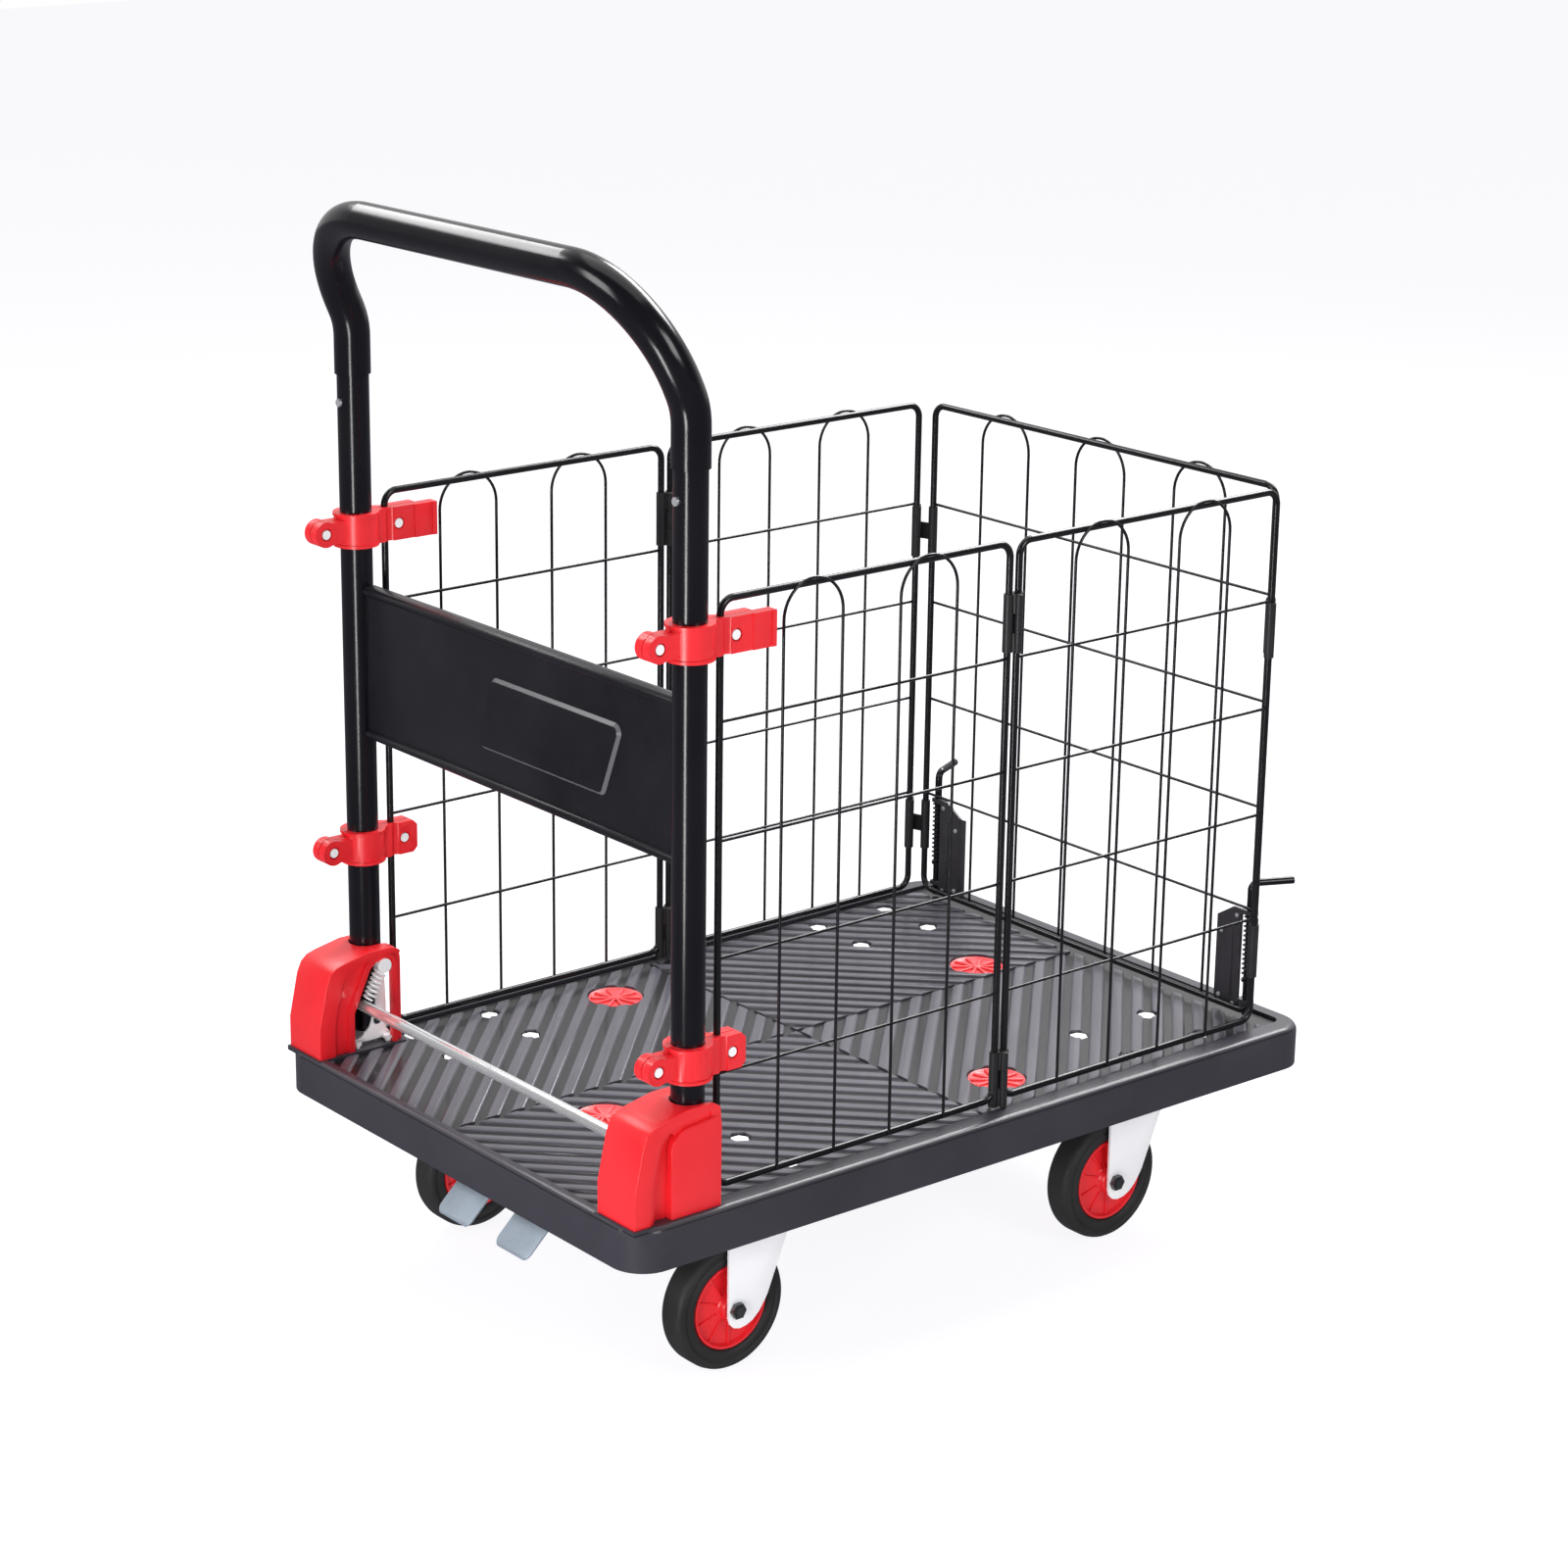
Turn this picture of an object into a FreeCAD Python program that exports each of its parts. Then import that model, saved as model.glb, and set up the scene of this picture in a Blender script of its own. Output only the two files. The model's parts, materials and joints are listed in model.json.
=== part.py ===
"""Folding platform cart with a wire cage: a ribbed plastic deck on four casters, a tube push handle
on two red feet, and five hinged mesh panels clamped to the handle posts.

Frame: millimetres, +Z up, origin on the floor under the middle of the deck.
+X runs from the handle end to the far end, +Y is the left side, -Y the right side.
"""
import FreeCAD, Part
import math
import os
import re
import Sketcher

V = FreeCAD.Vector
X_AXIS, Y_AXIS, Z_AXIS = V(1, 0, 0), V(0, 1, 0), V(0, 0, 1)

# ---------------------------------------------------------------- driving dimensions
SIZES = {
    # deck
    "deck_length": 890, "deck_width": 600, "deck_top": 214, "deck_thick": 44,
    "deck_corner": 35, "deck_edge": 8, "skirt_wall": 4, "top_wall": 7,
    "field_side": 24, "field_near": 12, "field_far": 19, "field_depth": 4, "rib_wall": 3, "rib_drop": 10,
    "rib_pitch_long": 111, "rib_pitch_wide": 100,
    "plug_radius": 29, "plug_thick": 4, "plug_gap": 0.4,
    "plug_a_pos": -290, "plug_a_side": 47, "plug_b_pos": -83, "plug_b_side": 209,
    # casters
    "wheel_radius": 65, "wheel_width": 32, "tread_round": 5, "rim_radius": 44,
    "hub_boss_radius": 11, "axle_radius": 5, "wheel_side": 210,
    "swivel_pos": -231, "rigid_pos": 275, "trail": 40,
    "mount_plate_thick": 3, "mount_drop": 36, "mount_length": 128, "mount_width": 104,
    "swivel_mount_pos": -270, "rigid_mount_pos": 282,
    "bolt_pitch_long": 99, "bolt_pitch_wide": 74, "bolt_radius": 4, "bolt_head": 9.6, "bolt_nut": 5,
    "race_radius": 30, "race_height": 6, "fork_wall": 3, "fork_gap": 3.5,
    "crown_half": 50, "fork_skirt": 27, "fork_toe": 10, "king_radius": 7, "king_bore": 3.2,
    # foot brake
    "brake_rod_radius": 4, "brake_travel": 5,
    "rocker_side": -80, "rocker_drop": 38, "shaft_drop": 24, "brake_arm": 28,
    "pedal_width": 53, "pedal_gap": 43, "pedal_wall": 3, "pedal_reach": 18, "pedal_fall": 19,
    "pedal_drop": 17, "rocker_crank": 57, "brake_shoe_radius": 9, "brake_play": 0.9,
    # handle
    "post_radius": 16, "post_wall": 2, "post_pos": -361, "post_side": 268.5,
    "pivot_rise": 23, "pivot_radius": 5, "post_foot": 10,
    "handle_radius": 18, "sleeve_low": 910, "sleeve_grip": 34, "neck_rise": 52, "bar_rise": 115,
    "handle_lean": 52, "handle_corner": 105, "neck_radius": 70,
    "plate_low": 539, "plate_high": 697, "plate_wall": 2, "plate_flange": 11,
    "rivet_rise": 28, "rivet_radius": 4,
    # feet
    "foot_back": -440, "foot_front": -338, "foot_height": 104, "foot_inner": 235,
    "foot_outer": 292, "foot_wall": 2.5, "foot_shoulder": 32, "foot_slope": 15,
    "cheek_wall": 3, "cheek_gap": 1, "lock_radius": 6, "lock_pos": -382, "lock_rise": 45,
    "lock_travel": 10, "lock_reach": 254, "spring_pin_pos": -360, "spring_pin_rise": 86,
    "spring_radius": 5.6, "spring_wire": 1.6, "spring_side": 242.2,
    # post clamps
    "clamp_wall": 6, "clamp_height": 34, "clamp_plate": 6.5, "clamp_split": 0.5,
    "clamp_lug": 402, "clamp_lug_radius": 13, "clamp_screw_pos": -316, "clamp_screw": 2.5,
    "clamp_high": 754, "clamp_low_left": 423, "clamp_low_right": 356,
    "clamp_long_end": -272, "clamp_short_end": -286, "clamp_low_end": -301, "clamp_lip": 6,
    # cage
    "cage_low": 222, "cage_high": 786, "frame_wire": 3.5, "mesh_wire": 1.5, "wire_weld": 0.6,
    "cage_front": -327, "cage_mid": 29, "cage_back": 398, "frame_bend": 14, "arch_bump": 5,
    "mid_step": 6, "mid_offset": 8, "corner_step": 13, "corner_offset": 6,
    "hinge_clip": 5.1, "hinge_barrel": 3.6, "hinge_pin": 1.8, "hinge_length": 57,
    "hinge_arm": 2.4, "mid_hinge_high": 708, "mid_hinge_low": 244, "corner_hinge_high": 642,
    "corner_hinge_low": 298, "hinge_gap": 0.4, "peg_gap": 0.6,
    # corner latches
    "latch_side": 243, "latch_stand": 8, "latch_radius": 4, "latch_width": 34,
    "latch_wall": 2, "latch_base": 3, "latch_flange": 10, "latch_height": 112,
    "latch_lift": 20, "latch_tip": 1, "latch_stop": 3,
    "latch_top": 361, "latch_grip": 46, "latch_splay": 25, "latch_spring": 6.5,
    # fits
    "running_gap": 0.08, "seat_gap": 0.1, "weld_gap": 0.3,
}

doc = FreeCAD.newDocument("platform_cart")
sheet = doc.addObject("Spreadsheet::Sheet", "sizes")
for row, (alias, value) in enumerate(SIZES.items(), start=1):
    sheet.set(f"A{row}", alias)
    sheet.set(f"B{row}", str(value))
    sheet.setAlias(f"B{row}", alias)
doc.recompute()

WORD = re.compile(r"[a-z]+(?:_[a-z]+)+|trail")
NODES = []


# ---------------------------------------------------------------- helpers
def val(formula):
    """The number that a formula of sheet names gives."""
    return float(sheet.evalExpression(str(formula)))


def at(*formulas):
    return V(*[val(f) for f in formulas])


def bind(obj, prop, formula):
    """Bind one property to a formula of sheet names."""
    obj.setExpression(prop, WORD.sub(lambda m: "sizes." + m.group(), str(formula)))


def place(obj, where):
    for letter, formula in zip("xyz", where):
        bind(obj, f"Placement.Base.{letter}", formula)


def node(obj, name):
    """Name an object as one piece of the cart, to be written as a file."""
    obj.Label = name
    NODES.append(obj)
    return obj


def box(name, size, where):
    obj = doc.addObject("Part::Box", name)
    for prop, formula in zip(("Length", "Width", "Height"), size):
        bind(obj, prop, formula)
    place(obj, where)
    return obj


def rod(name, radius, height, where, along="z"):
    """A cylinder from a point along +x, +y or +z."""
    obj = doc.addObject("Part::Cylinder", name)
    bind(obj, "Radius", radius)
    bind(obj, "Height", height)
    turn = {"x": (Y_AXIS, 90), "y": (X_AXIS, -90), "z": (Z_AXIS, 0)}[along]
    obj.Placement = FreeCAD.Placement(V(0, 0, 0), FreeCAD.Rotation(*turn))
    place(obj, where)
    return obj


def fuse(name, pieces):
    obj = doc.addObject("Part::MultiFuse", name)
    obj.Shapes = pieces
    return obj


def cut(name, base, tool):
    obj = doc.addObject("Part::Cut", name)
    obj.Base = base
    obj.Tool = tool
    return obj


def bundle(name, pieces):
    obj = doc.addObject("Part::Compound", name)
    obj.Links = pieces
    return obj


def shaped(name, shape):
    obj = doc.addObject("Part::Feature", name)
    obj.Shape = shape
    return obj


def new_body(name):
    return doc.addObject("PartDesign::Body", name)


def sketch(body, name, role, points):
    """A closed outline whose every corner is held by formulas of sheet names."""
    obj = body.newObject("Sketcher::SketchObject", name)
    plane = [f for f in body.Origin.OriginFeatures if f.Role == role][0]
    obj.AttachmentSupport = (plane, [""])
    obj.MapMode = "FlatFace"
    corners = [(val(a), val(b)) for a, b in points]
    count = len(corners)
    for i in range(count):
        start = V(*corners[i], 0)
        end = V(*corners[(i + 1) % count], 0)
        obj.addGeometry(Part.LineSegment(start, end))
    for i in range(count):
        obj.addConstraint(Sketcher.Constraint("Coincident", i, 2, (i + 1) % count, 1))
    for i, pair in enumerate(points):
        for kind, axis, number, formula in zip(("DistanceX", "DistanceY"), (-2, -1), corners[i], pair):
            if abs(number) < 1e-9:
                obj.addConstraint(Sketcher.Constraint("PointOnObject", i, 1, axis))
                continue
            held = obj.addConstraint(Sketcher.Constraint(kind, -1, 1, i, 1, number))
            bind(obj, f"Constraints[{held}]", formula)
    return obj


def pad(body, name, outline, length, midplane=False, back=False):
    obj = body.newObject("PartDesign::Pad", name)
    obj.Profile = outline
    bind(obj, "Length", length)
    obj.Midplane = midplane
    obj.Reversed = back
    return obj


def round_edges(body, name, base, keep, radius):
    """Fillet the edges of a feature that a test picks."""
    doc.recompute()
    picked = [f"Edge{i}" for i, e in enumerate(base.Shape.Edges, start=1) if keep(e)]
    obj = body.newObject("PartDesign::Fillet", name)
    obj.Base = (base, picked)
    bind(obj, "Radius", radius)
    return obj


def turned(name, points, where):
    """A body turned about the Y axis from an outline of (along Y, radius) corners."""
    body = new_body(name)
    outline = sketch(body, name + "_outline", "YZ_Plane", points)
    obj = body.newObject("PartDesign::Revolution", name + "_turn")
    obj.Profile = outline
    obj.ReferenceAxis = (outline, ["H_Axis"])
    obj.Angle = 360
    place(body, where)
    return body


def is_upright(edge):
    ends = [v.Point for v in edge.Vertexes]
    return len(ends) == 2 and (ends[1] - ends[0]).cross(Z_AXIS).Length < 1e-6


def is_across(edge):
    ends = [v.Point for v in edge.Vertexes]
    return len(ends) == 2 and (ends[1] - ends[0]).cross(Y_AXIS).Length < 1e-6


def pipe(path, radius):
    """A round wire swept along a list of edges that meet smoothly."""
    wire = Part.Wire(path)
    first = path[0]
    start = first.valueAt(first.FirstParameter)
    ring = Part.Wire(Part.makeCircle(radius, start, first.tangentAt(first.FirstParameter)))
    return wire.makePipeShell([ring], True, False)


def line(a, b):
    return Part.LineSegment(a, b).toShape()


def arc(a, middle, b):
    return Part.Arc(a, middle, b).toShape()


def corner_path(points, radius):
    """Edges through points, each inner corner rounded to a radius."""
    edges = []
    start = points[0]
    for before, here, after in zip(points, points[1:], points[2:]):
        to_back = (before - here).normalize()
        to_next = (after - here).normalize()
        half = to_back.getAngle(to_next) / 2
        reach = radius / math.tan(half)
        middle = (to_back + to_next).normalize()
        inset = radius / math.sin(half) - radius
        a = here + to_back * reach
        b = here + to_next * reach
        edges.append(line(start, a))
        edges.append(arc(a, here + middle * inset, b))
        start = b
    edges.append(line(start, points[-1]))
    return edges


def sides():
    """The left side is +Y, the right side -Y."""
    return (("left", 1), ("right", -1))


def mirrored_start(sign, near, far):
    """Lowest Y of a span given by its two distances from the middle plane."""
    return f"{near}" if sign > 0 else f"-({far})"


# ---------------------------------------------------------------- places that pieces share
FIELD = "deck_top - field_depth"
UNDER = "deck_top - top_wall"
SKIRT_LOW = "deck_top - deck_thick"
MOUNT_TOP = "deck_top - mount_drop"
MOUNT_LOW = "deck_top - mount_drop - mount_plate_thick"
CROWN_TOP = "deck_top - mount_drop - mount_plate_thick - race_height"
CROWN_LOW = "deck_top - mount_drop - mount_plate_thick - race_height - fork_wall"
SWIVEL_HUB = "(swivel_pos - trail)"
RIGID_HUB = "(rigid_pos - trail)"
PIVOT = "(deck_top + pivot_rise)"
LOCK = "(deck_top + lock_rise)"
SPRING_PIN = "(deck_top + spring_pin_rise)"
ROCKER = "(deck_top - rocker_drop)"
SHAFT = "(deck_top - shaft_drop)"
SHAFT_POS = "(swivel_pos + brake_arm)"
PIN_TOP = "(deck_top - shaft_drop - brake_rod_radius - brake_play)"


def bolt_places():
    """The sixteen caster bolts: four round each mounting plate."""
    for pos in ("swivel_mount_pos", "rigid_mount_pos"):
        for sign in (1, -1):
            for a, b in ((-1, -1), (-1, 1), (1, -1), (1, 1)):
                yield (f"{pos} + {a} * bolt_pitch_long / 2",
                       f"{sign} * wheel_side + {b} * bolt_pitch_wide / 2")


def plug_places():
    yield "plug_a_pos", "-plug_a_side"
    yield "plug_b_pos", "plug_b_side"
    yield "-plug_a_pos", "plug_a_side"
    yield "-plug_b_pos", "-plug_b_side"


# ---------------------------------------------------------------- deck
def make_deck():
    body = new_body("deck_shell")
    half_l, half_w = "deck_length / 2", "deck_width / 2"
    outline = [(f"-{half_l}", f"-{half_w}"), (half_l, f"-{half_w}"),
               (half_l, half_w), (f"-{half_l}", half_w)]
    slab = pad(body, "slab", sketch(body, "slab_outline", "XY_Plane", outline), "deck_thick")
    corners = round_edges(body, "corners", slab, is_upright, "deck_corner")
    top = val("deck_thick")
    doc.recompute()
    rim = round_edges(body, "rim_edge", corners,
                      lambda e: all(abs(v.Z - top) < 1e-6 for v in e.Vertexes), "deck_edge")
    place(body, ("0", "0", SKIRT_LOW))
    doc.recompute()

    def hollow(name, near, far, side, height, low, radius):
        """A round-cornered room in the deck, set in from its near end, its far end and its sides."""
        core = box(name, (f"deck_length - {near} - {far}", f"deck_width - 2 * {side}", height),
                   (f"-deck_length / 2 + {near}", f"-deck_width / 2 + {side}", low))
        soft = doc.addObject("Part::Fillet", name + "_soft")
        soft.Base = core
        doc.recompute()
        r = val(radius)
        soft.Edges = [(i, r, r) for i, e in enumerate(core.Shape.Edges, start=1) if is_upright(e)]
        return soft

    inside = hollow("inside", "skirt_wall", "skirt_wall", "skirt_wall", "deck_thick - top_wall", SKIRT_LOW,
                    "deck_corner - skirt_wall")
    field = hollow("field", "field_near", "field_far", "field_side", "field_depth + 1", FIELD,
                   "deck_corner / 3")
    shell = cut("deck_empty", body, inside)
    ribs = []
    rows = int(val("(deck_length / 2 - deck_corner) / rib_pitch_long"))
    for i in range(-rows, rows + 1):
        ribs.append(box(f"cross_rib_{i + rows}", ("rib_wall", "deck_width - skirt_wall", "rib_drop + 1"),
                        (f"{i} * rib_pitch_long - rib_wall / 2", "-deck_width / 2 + skirt_wall / 2",
                         f"{UNDER} - rib_drop")))
    lanes = int(val("(deck_width / 2 - deck_corner) / rib_pitch_wide"))
    for i in range(-lanes, lanes + 1):
        ribs.append(box(f"long_rib_{i + lanes}", ("deck_length - skirt_wall", "rib_wall", "rib_drop + 1"),
                        ("-deck_length / 2 + skirt_wall / 2", f"{i} * rib_pitch_wide - rib_wall / 2",
                         f"{UNDER} - rib_drop")))
    for i, (bx, by) in enumerate(bolt_places()):
        ribs.append(rod(f"bolt_boss_{i}", "bolt_head + 2", "mount_drop - top_wall + 1",
                        (bx, by, MOUNT_TOP)))
    for i, pos in enumerate(("-deck_length / 2 + 50", f"{SHAFT_POS} + brake_rod_radius + 1")):
        ribs.append(box(f"rocker_bearing_{i}", ("10", "4 * brake_rod_radius", "rocker_drop - top_wall + 7"),
                        (pos, "rocker_side - 2 * brake_rod_radius", f"{ROCKER} - 6")))
    for name, sign in sides():
        ribs.append(box(f"shaft_bearing_{name}",
                        ("4 * brake_rod_radius", "10", "shaft_drop - top_wall + 7"),
                        (f"{SHAFT_POS} - 2 * brake_rod_radius", f"{sign} * 145 - 5", f"{SHAFT} - 6")))
    solid = fuse("deck_ribbed", [shell] + ribs)
    opened = cut("deck_field", solid, field)
    pads = [opened]
    for name, sign in sides():
        pads.append(box(f"foot_seat_{name}", ("foot_front - foot_back + 4", "foot_outer - foot_inner + 4",
                                              "field_depth + 1"),
                        ("foot_back - 2", mirrored_start(sign, "foot_inner - 2", "foot_outer + 2"),
                         f"{FIELD} - 1")))
    seated = fuse("deck_seated", pads)
    tools = []
    for i, (bx, by) in enumerate(bolt_places()):
        tools.append(rod(f"bolt_hole_{i}", "bolt_radius + seat_gap", "deck_thick + 2",
                         (bx, by, f"{SKIRT_LOW} - 1")))
        prism = doc.addObject("Part::Prism", f"bolt_pocket_{i}")
        prism.Polygon = 6
        bind(prism, "Circumradius", "bolt_head + 1.4")
        bind(prism, "Height", "top_wall")
        place(prism, (bx, by, f"{FIELD} - top_wall + 1"))
        tools.append(prism)
    for i, (px, py) in enumerate(plug_places()):
        tools.append(rod(f"plug_seat_{i}", "plug_radius + plug_gap", "plug_thick + 1",
                         (px, py, f"{FIELD} - plug_thick")))
        tools.append(rod(f"plug_neck_{i}", "plug_radius - 8", "deck_thick",
                         (px, py, f"{FIELD} - deck_thick")))
    for name, sign in sides():
        tools.append(rod(f"latch_hole_{name}", "latch_radius + 0.8", "deck_thick",
                         ("cage_back + latch_stand", f"{sign} * latch_side", f"{UNDER} - 2")))
    tools.append(rod("rocker_bore", "brake_rod_radius + running_gap", "deck_length / 2",
                     ("-deck_length / 2 + 20", "rocker_side", ROCKER), "x"))
    tools.append(rod("shaft_bore", "brake_rod_radius + running_gap", "330",
                     (SHAFT_POS, "-165", SHAFT), "y"))
    holes = fuse("deck_holes", tools)
    node(cut("deck", seated, holes), "deck")
    return rim


def make_plugs():
    plugs = []
    for i, (px, py) in enumerate(plug_places()):
        disc = rod(f"plug_disc_{i}", "plug_radius", "plug_thick",
                   (px, py, f"{FIELD} - plug_thick + 0.2"))
        neck = rod(f"plug_core_{i}", "plug_radius - 8.4", "plug_thick + 4",
                   (px, py, f"{FIELD} - plug_thick - 4"))
        plugs.append(fuse(f"plug_{i}", [disc, neck]))
    node(bundle("deck_plug_set", plugs), "deck_plugs")


# ---------------------------------------------------------------- casters
def make_caster_bolts():
    bolts = []
    for i, (bx, by) in enumerate(bolt_places()):
        shank = rod(f"bolt_shank_{i}", "bolt_radius",
                    "mount_drop + mount_plate_thick + bolt_nut - field_depth - 2.5",
                    (bx, by, f"{MOUNT_LOW} - bolt_nut - 0.5"))
        head = doc.addObject("Part::Prism", f"bolt_head_{i}")
        head.Polygon = 6
        bind(head, "Circumradius", "bolt_head")
        bind(head, "Height", "top_wall - 1.6")
        place(head, (bx, by, f"{FIELD} - top_wall + 1 + seat_gap"))
        nut = doc.addObject("Part::Prism", f"bolt_nut_{i}")
        nut.Polygon = 6
        bind(nut, "Circumradius", "bolt_radius * 1.9")
        bind(nut, "Height", "bolt_nut")
        place(nut, (bx, by, f"{MOUNT_LOW} - bolt_nut - seat_gap"))
        bolts.append(fuse(f"caster_bolt_{i}", [shank, head, nut]))
    node(bundle("caster_bolt_set", bolts), "caster_bolts")


def mount_plate(name, pos, sign):
    """A caster's mounting plate with its four bolt holes."""
    plate = box(name + "_blank", ("mount_length", "mount_width", "mount_plate_thick"),
                (f"{pos} - mount_length / 2", f"{sign} * wheel_side - mount_width / 2", MOUNT_LOW))
    holes = []
    for a in (-1, 1):
        for b in (-1, 1):
            holes.append(rod(f"{name}_hole_{len(holes)}", "bolt_radius + seat_gap", "mount_plate_thick + 2",
                             (f"{pos} + {a} * bolt_pitch_long / 2",
                              f"{sign} * wheel_side + {b} * bolt_pitch_wide / 2", f"{MOUNT_LOW} - 1")))
    return cut(name, plate, fuse(name + "_holes", holes))


def fork_leg(name, hub, axis, low, top):
    """One pressed fork leg, upright at the wheel side and sloped at the crown side."""
    body = new_body(name)
    axle = "wheel_radius"
    points = [(f"{hub} - fork_toe", top), (f"{hub} - fork_toe", f"{axle} - 8"),
              (f"{hub} - 4", f"{axle} - 18"), (f"{hub} + 10", f"{axle} - 17"),
              (f"{hub} + 25", f"{axle} - 8"), (f"{hub} + 42", f"{axle} + 8"),
              (f"{axis} + crown_half", f"{top} - fork_skirt"), (f"{axis} + crown_half", top)]
    outline = sketch(body, name + "_outline", "XZ_Plane", points)
    pad(body, name + "_pad", outline, "fork_wall", back=True)
    place(body, ("0", low, "0"))
    return body


def fork(name, sign, hub, axis, top, crown_low):
    """Crown and two legs of a fork, open for the wheel and bored for the axle."""
    legs = []
    reach = "wheel_width / 2 + fork_gap"
    outer = f"{sign} * wheel_side - ({reach}) - fork_wall"
    for i, low in enumerate((outer, f"{sign} * wheel_side + {reach}")):
        legs.append(fork_leg(f"{name}_leg_{i}", hub, axis, low, top))
    crown = box(name + "_crown",
                (f"{axis} + crown_half - {hub} + fork_toe", f"2 * ({reach} + fork_wall)", "fork_wall"),
                (f"{hub} - fork_toe", outer, crown_low))
    bore = rod(name + "_bore", "axle_radius + seat_gap", "wheel_width * 2",
               (hub, f"{sign} * wheel_side - wheel_width", "wheel_radius"), "y")
    return fuse(name + "_blank", legs + [crown]), bore


def make_swivel_casters():
    plates, kings = [], []
    for name, sign in sides():
        side = f"{sign} * wheel_side"
        plate = mount_plate(f"swivel_mount_{name}", "swivel_mount_pos", sign)
        race = rod(f"upper_race_{name}", "race_radius", "race_height - 1",
                   ("swivel_pos", side, f"{CROWN_TOP} + 1"))
        bore = rod(f"race_bore_{name}", "king_radius + seat_gap", "40",
                   ("swivel_pos", side, f"{CROWN_TOP} - 10"))
        plates.append(cut(f"swivel_plate_{name}", fuse(f"raced_plate_{name}", [plate, race]), bore))

        stem = rod(f"king_stem_{name}", "king_radius", "race_height + fork_wall + mount_plate_thick + 3",
                   ("swivel_pos", side, f"{CROWN_LOW} - 5"))
        cap = rod(f"king_cap_{name}", "king_radius + 4", "3", ("swivel_pos", side, f"{CROWN_LOW} - 4"))
        hollow = rod(f"king_hollow_{name}", "king_bore", "60", ("swivel_pos", side, f"{CROWN_LOW} - 20"))
        kings.append(cut(f"kingpin_{name}", fuse(f"king_{name}", [stem, cap]), hollow))

        blank, axle_bore = fork(f"swivel_{name}", sign, SWIVEL_HUB, "swivel_pos", CROWN_TOP, CROWN_LOW)
        king_bore = rod(f"crown_bore_{name}", "king_radius + running_gap", "40",
                        ("swivel_pos", side, f"{CROWN_LOW} - 10"))
        bores = fuse(f"swivel_bores_{name}", [axle_bore, king_bore])
        node(cut(f"swivel_fork_{name}", blank, bores), f"swivel_fork_{name}")
        node(make_axle(f"swivel_axle_{name}", SWIVEL_HUB, sign), f"swivel_axle_{name}")
    node(bundle("swivel_plate_set", plates), "swivel_plates")
    node(bundle("kingpin_set", kings), "kingpins")


def make_rigid_casters():
    forks, axles = [], []
    for name, sign in sides():
        plate = mount_plate(f"rigid_mount_{name}", "rigid_mount_pos", sign)
        blank, axle_bore = fork(f"rigid_{name}", sign, RIGID_HUB, "rigid_pos", MOUNT_LOW,
                                f"{MOUNT_LOW} - fork_wall")
        forks.append(cut(f"rigid_fork_{name}", fuse(f"rigid_body_{name}", [plate, blank]), axle_bore))
        axles.append(make_axle(f"rigid_axle_{name}", RIGID_HUB, sign))
    node(bundle("rigid_fork_set", forks), "rigid_forks")
    node(bundle("rigid_axle_set", axles), "rigid_axles")


def make_axle(name, hub, sign):
    """An axle bolt with its hexagon head outside and nut inside."""
    reach = "wheel_width / 2 + fork_gap + fork_wall"
    side = f"{sign} * wheel_side"
    shank = rod(name + "_shank", "axle_radius", f"2 * ({reach}) + 14",
                (hub, f"{side} - ({reach}) - 7", "wheel_radius"), "y")
    ends = []
    for i, start in enumerate((f"{side} - ({reach}) - 5 - seat_gap", f"{side} + {reach} + seat_gap")):
        end = doc.addObject("Part::Prism", f"{name}_hex_{i}")
        end.Polygon = 6
        bind(end, "Circumradius", "axle_radius * 1.7")
        bind(end, "Height", "5")
        end.Placement = FreeCAD.Placement(V(0, 0, 0), FreeCAD.Rotation(X_AXIS, -90))
        place(end, (hub, start, "wheel_radius"))
        ends.append(end)
    return fuse(name, [shank] + ends)


def make_wheels():
    half = "wheel_width / 2"
    bead = "rim_radius + seat_gap"
    tyre = [(f"-{half} + 3", bead), (f"{half} - 3", bead), (half, f"{bead} + 4"),
            (half, "wheel_radius - tread_round - 2"), (f"{half} - 2", "wheel_radius - tread_round / 2"),
            (f"{half} - tread_round - 1", "wheel_radius"), (f"-{half} + tread_round + 1", "wheel_radius"),
            (f"-{half} + 2", "wheel_radius - tread_round / 2"),
            (f"-{half}", "wheel_radius - tread_round - 2"), (f"-{half}", f"{bead} + 4")]
    hub = [(f"-{half} - 2", "axle_radius + running_gap"), (f"{half} + 2", "axle_radius + running_gap"),
           (f"{half} + 2", "hub_boss_radius"), ("7", "hub_boss_radius + 4"), ("6", "rim_radius - 8"),
           (f"{half} - 4", "rim_radius - 4"), (f"{half} - 4", "rim_radius"),
           (f"-{half} + 4", "rim_radius"), (f"-{half} + 4", "rim_radius - 4"),
           ("-6", "rim_radius - 8"), ("-7", "hub_boss_radius + 4"), (f"-{half} - 2", "hub_boss_radius")]
    for kind, pos in (("swivel", SWIVEL_HUB), ("rigid", RIGID_HUB)):
        for name, sign in sides():
            where = (pos, f"{sign} * wheel_side", "wheel_radius")
            node(turned(f"{kind}_tyre_{name}_body", tyre, where), f"{kind}_tyre_{name}")
            node(turned(f"{kind}_hub_{name}_body", hub, where), f"{kind}_hub_{name}")


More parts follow.
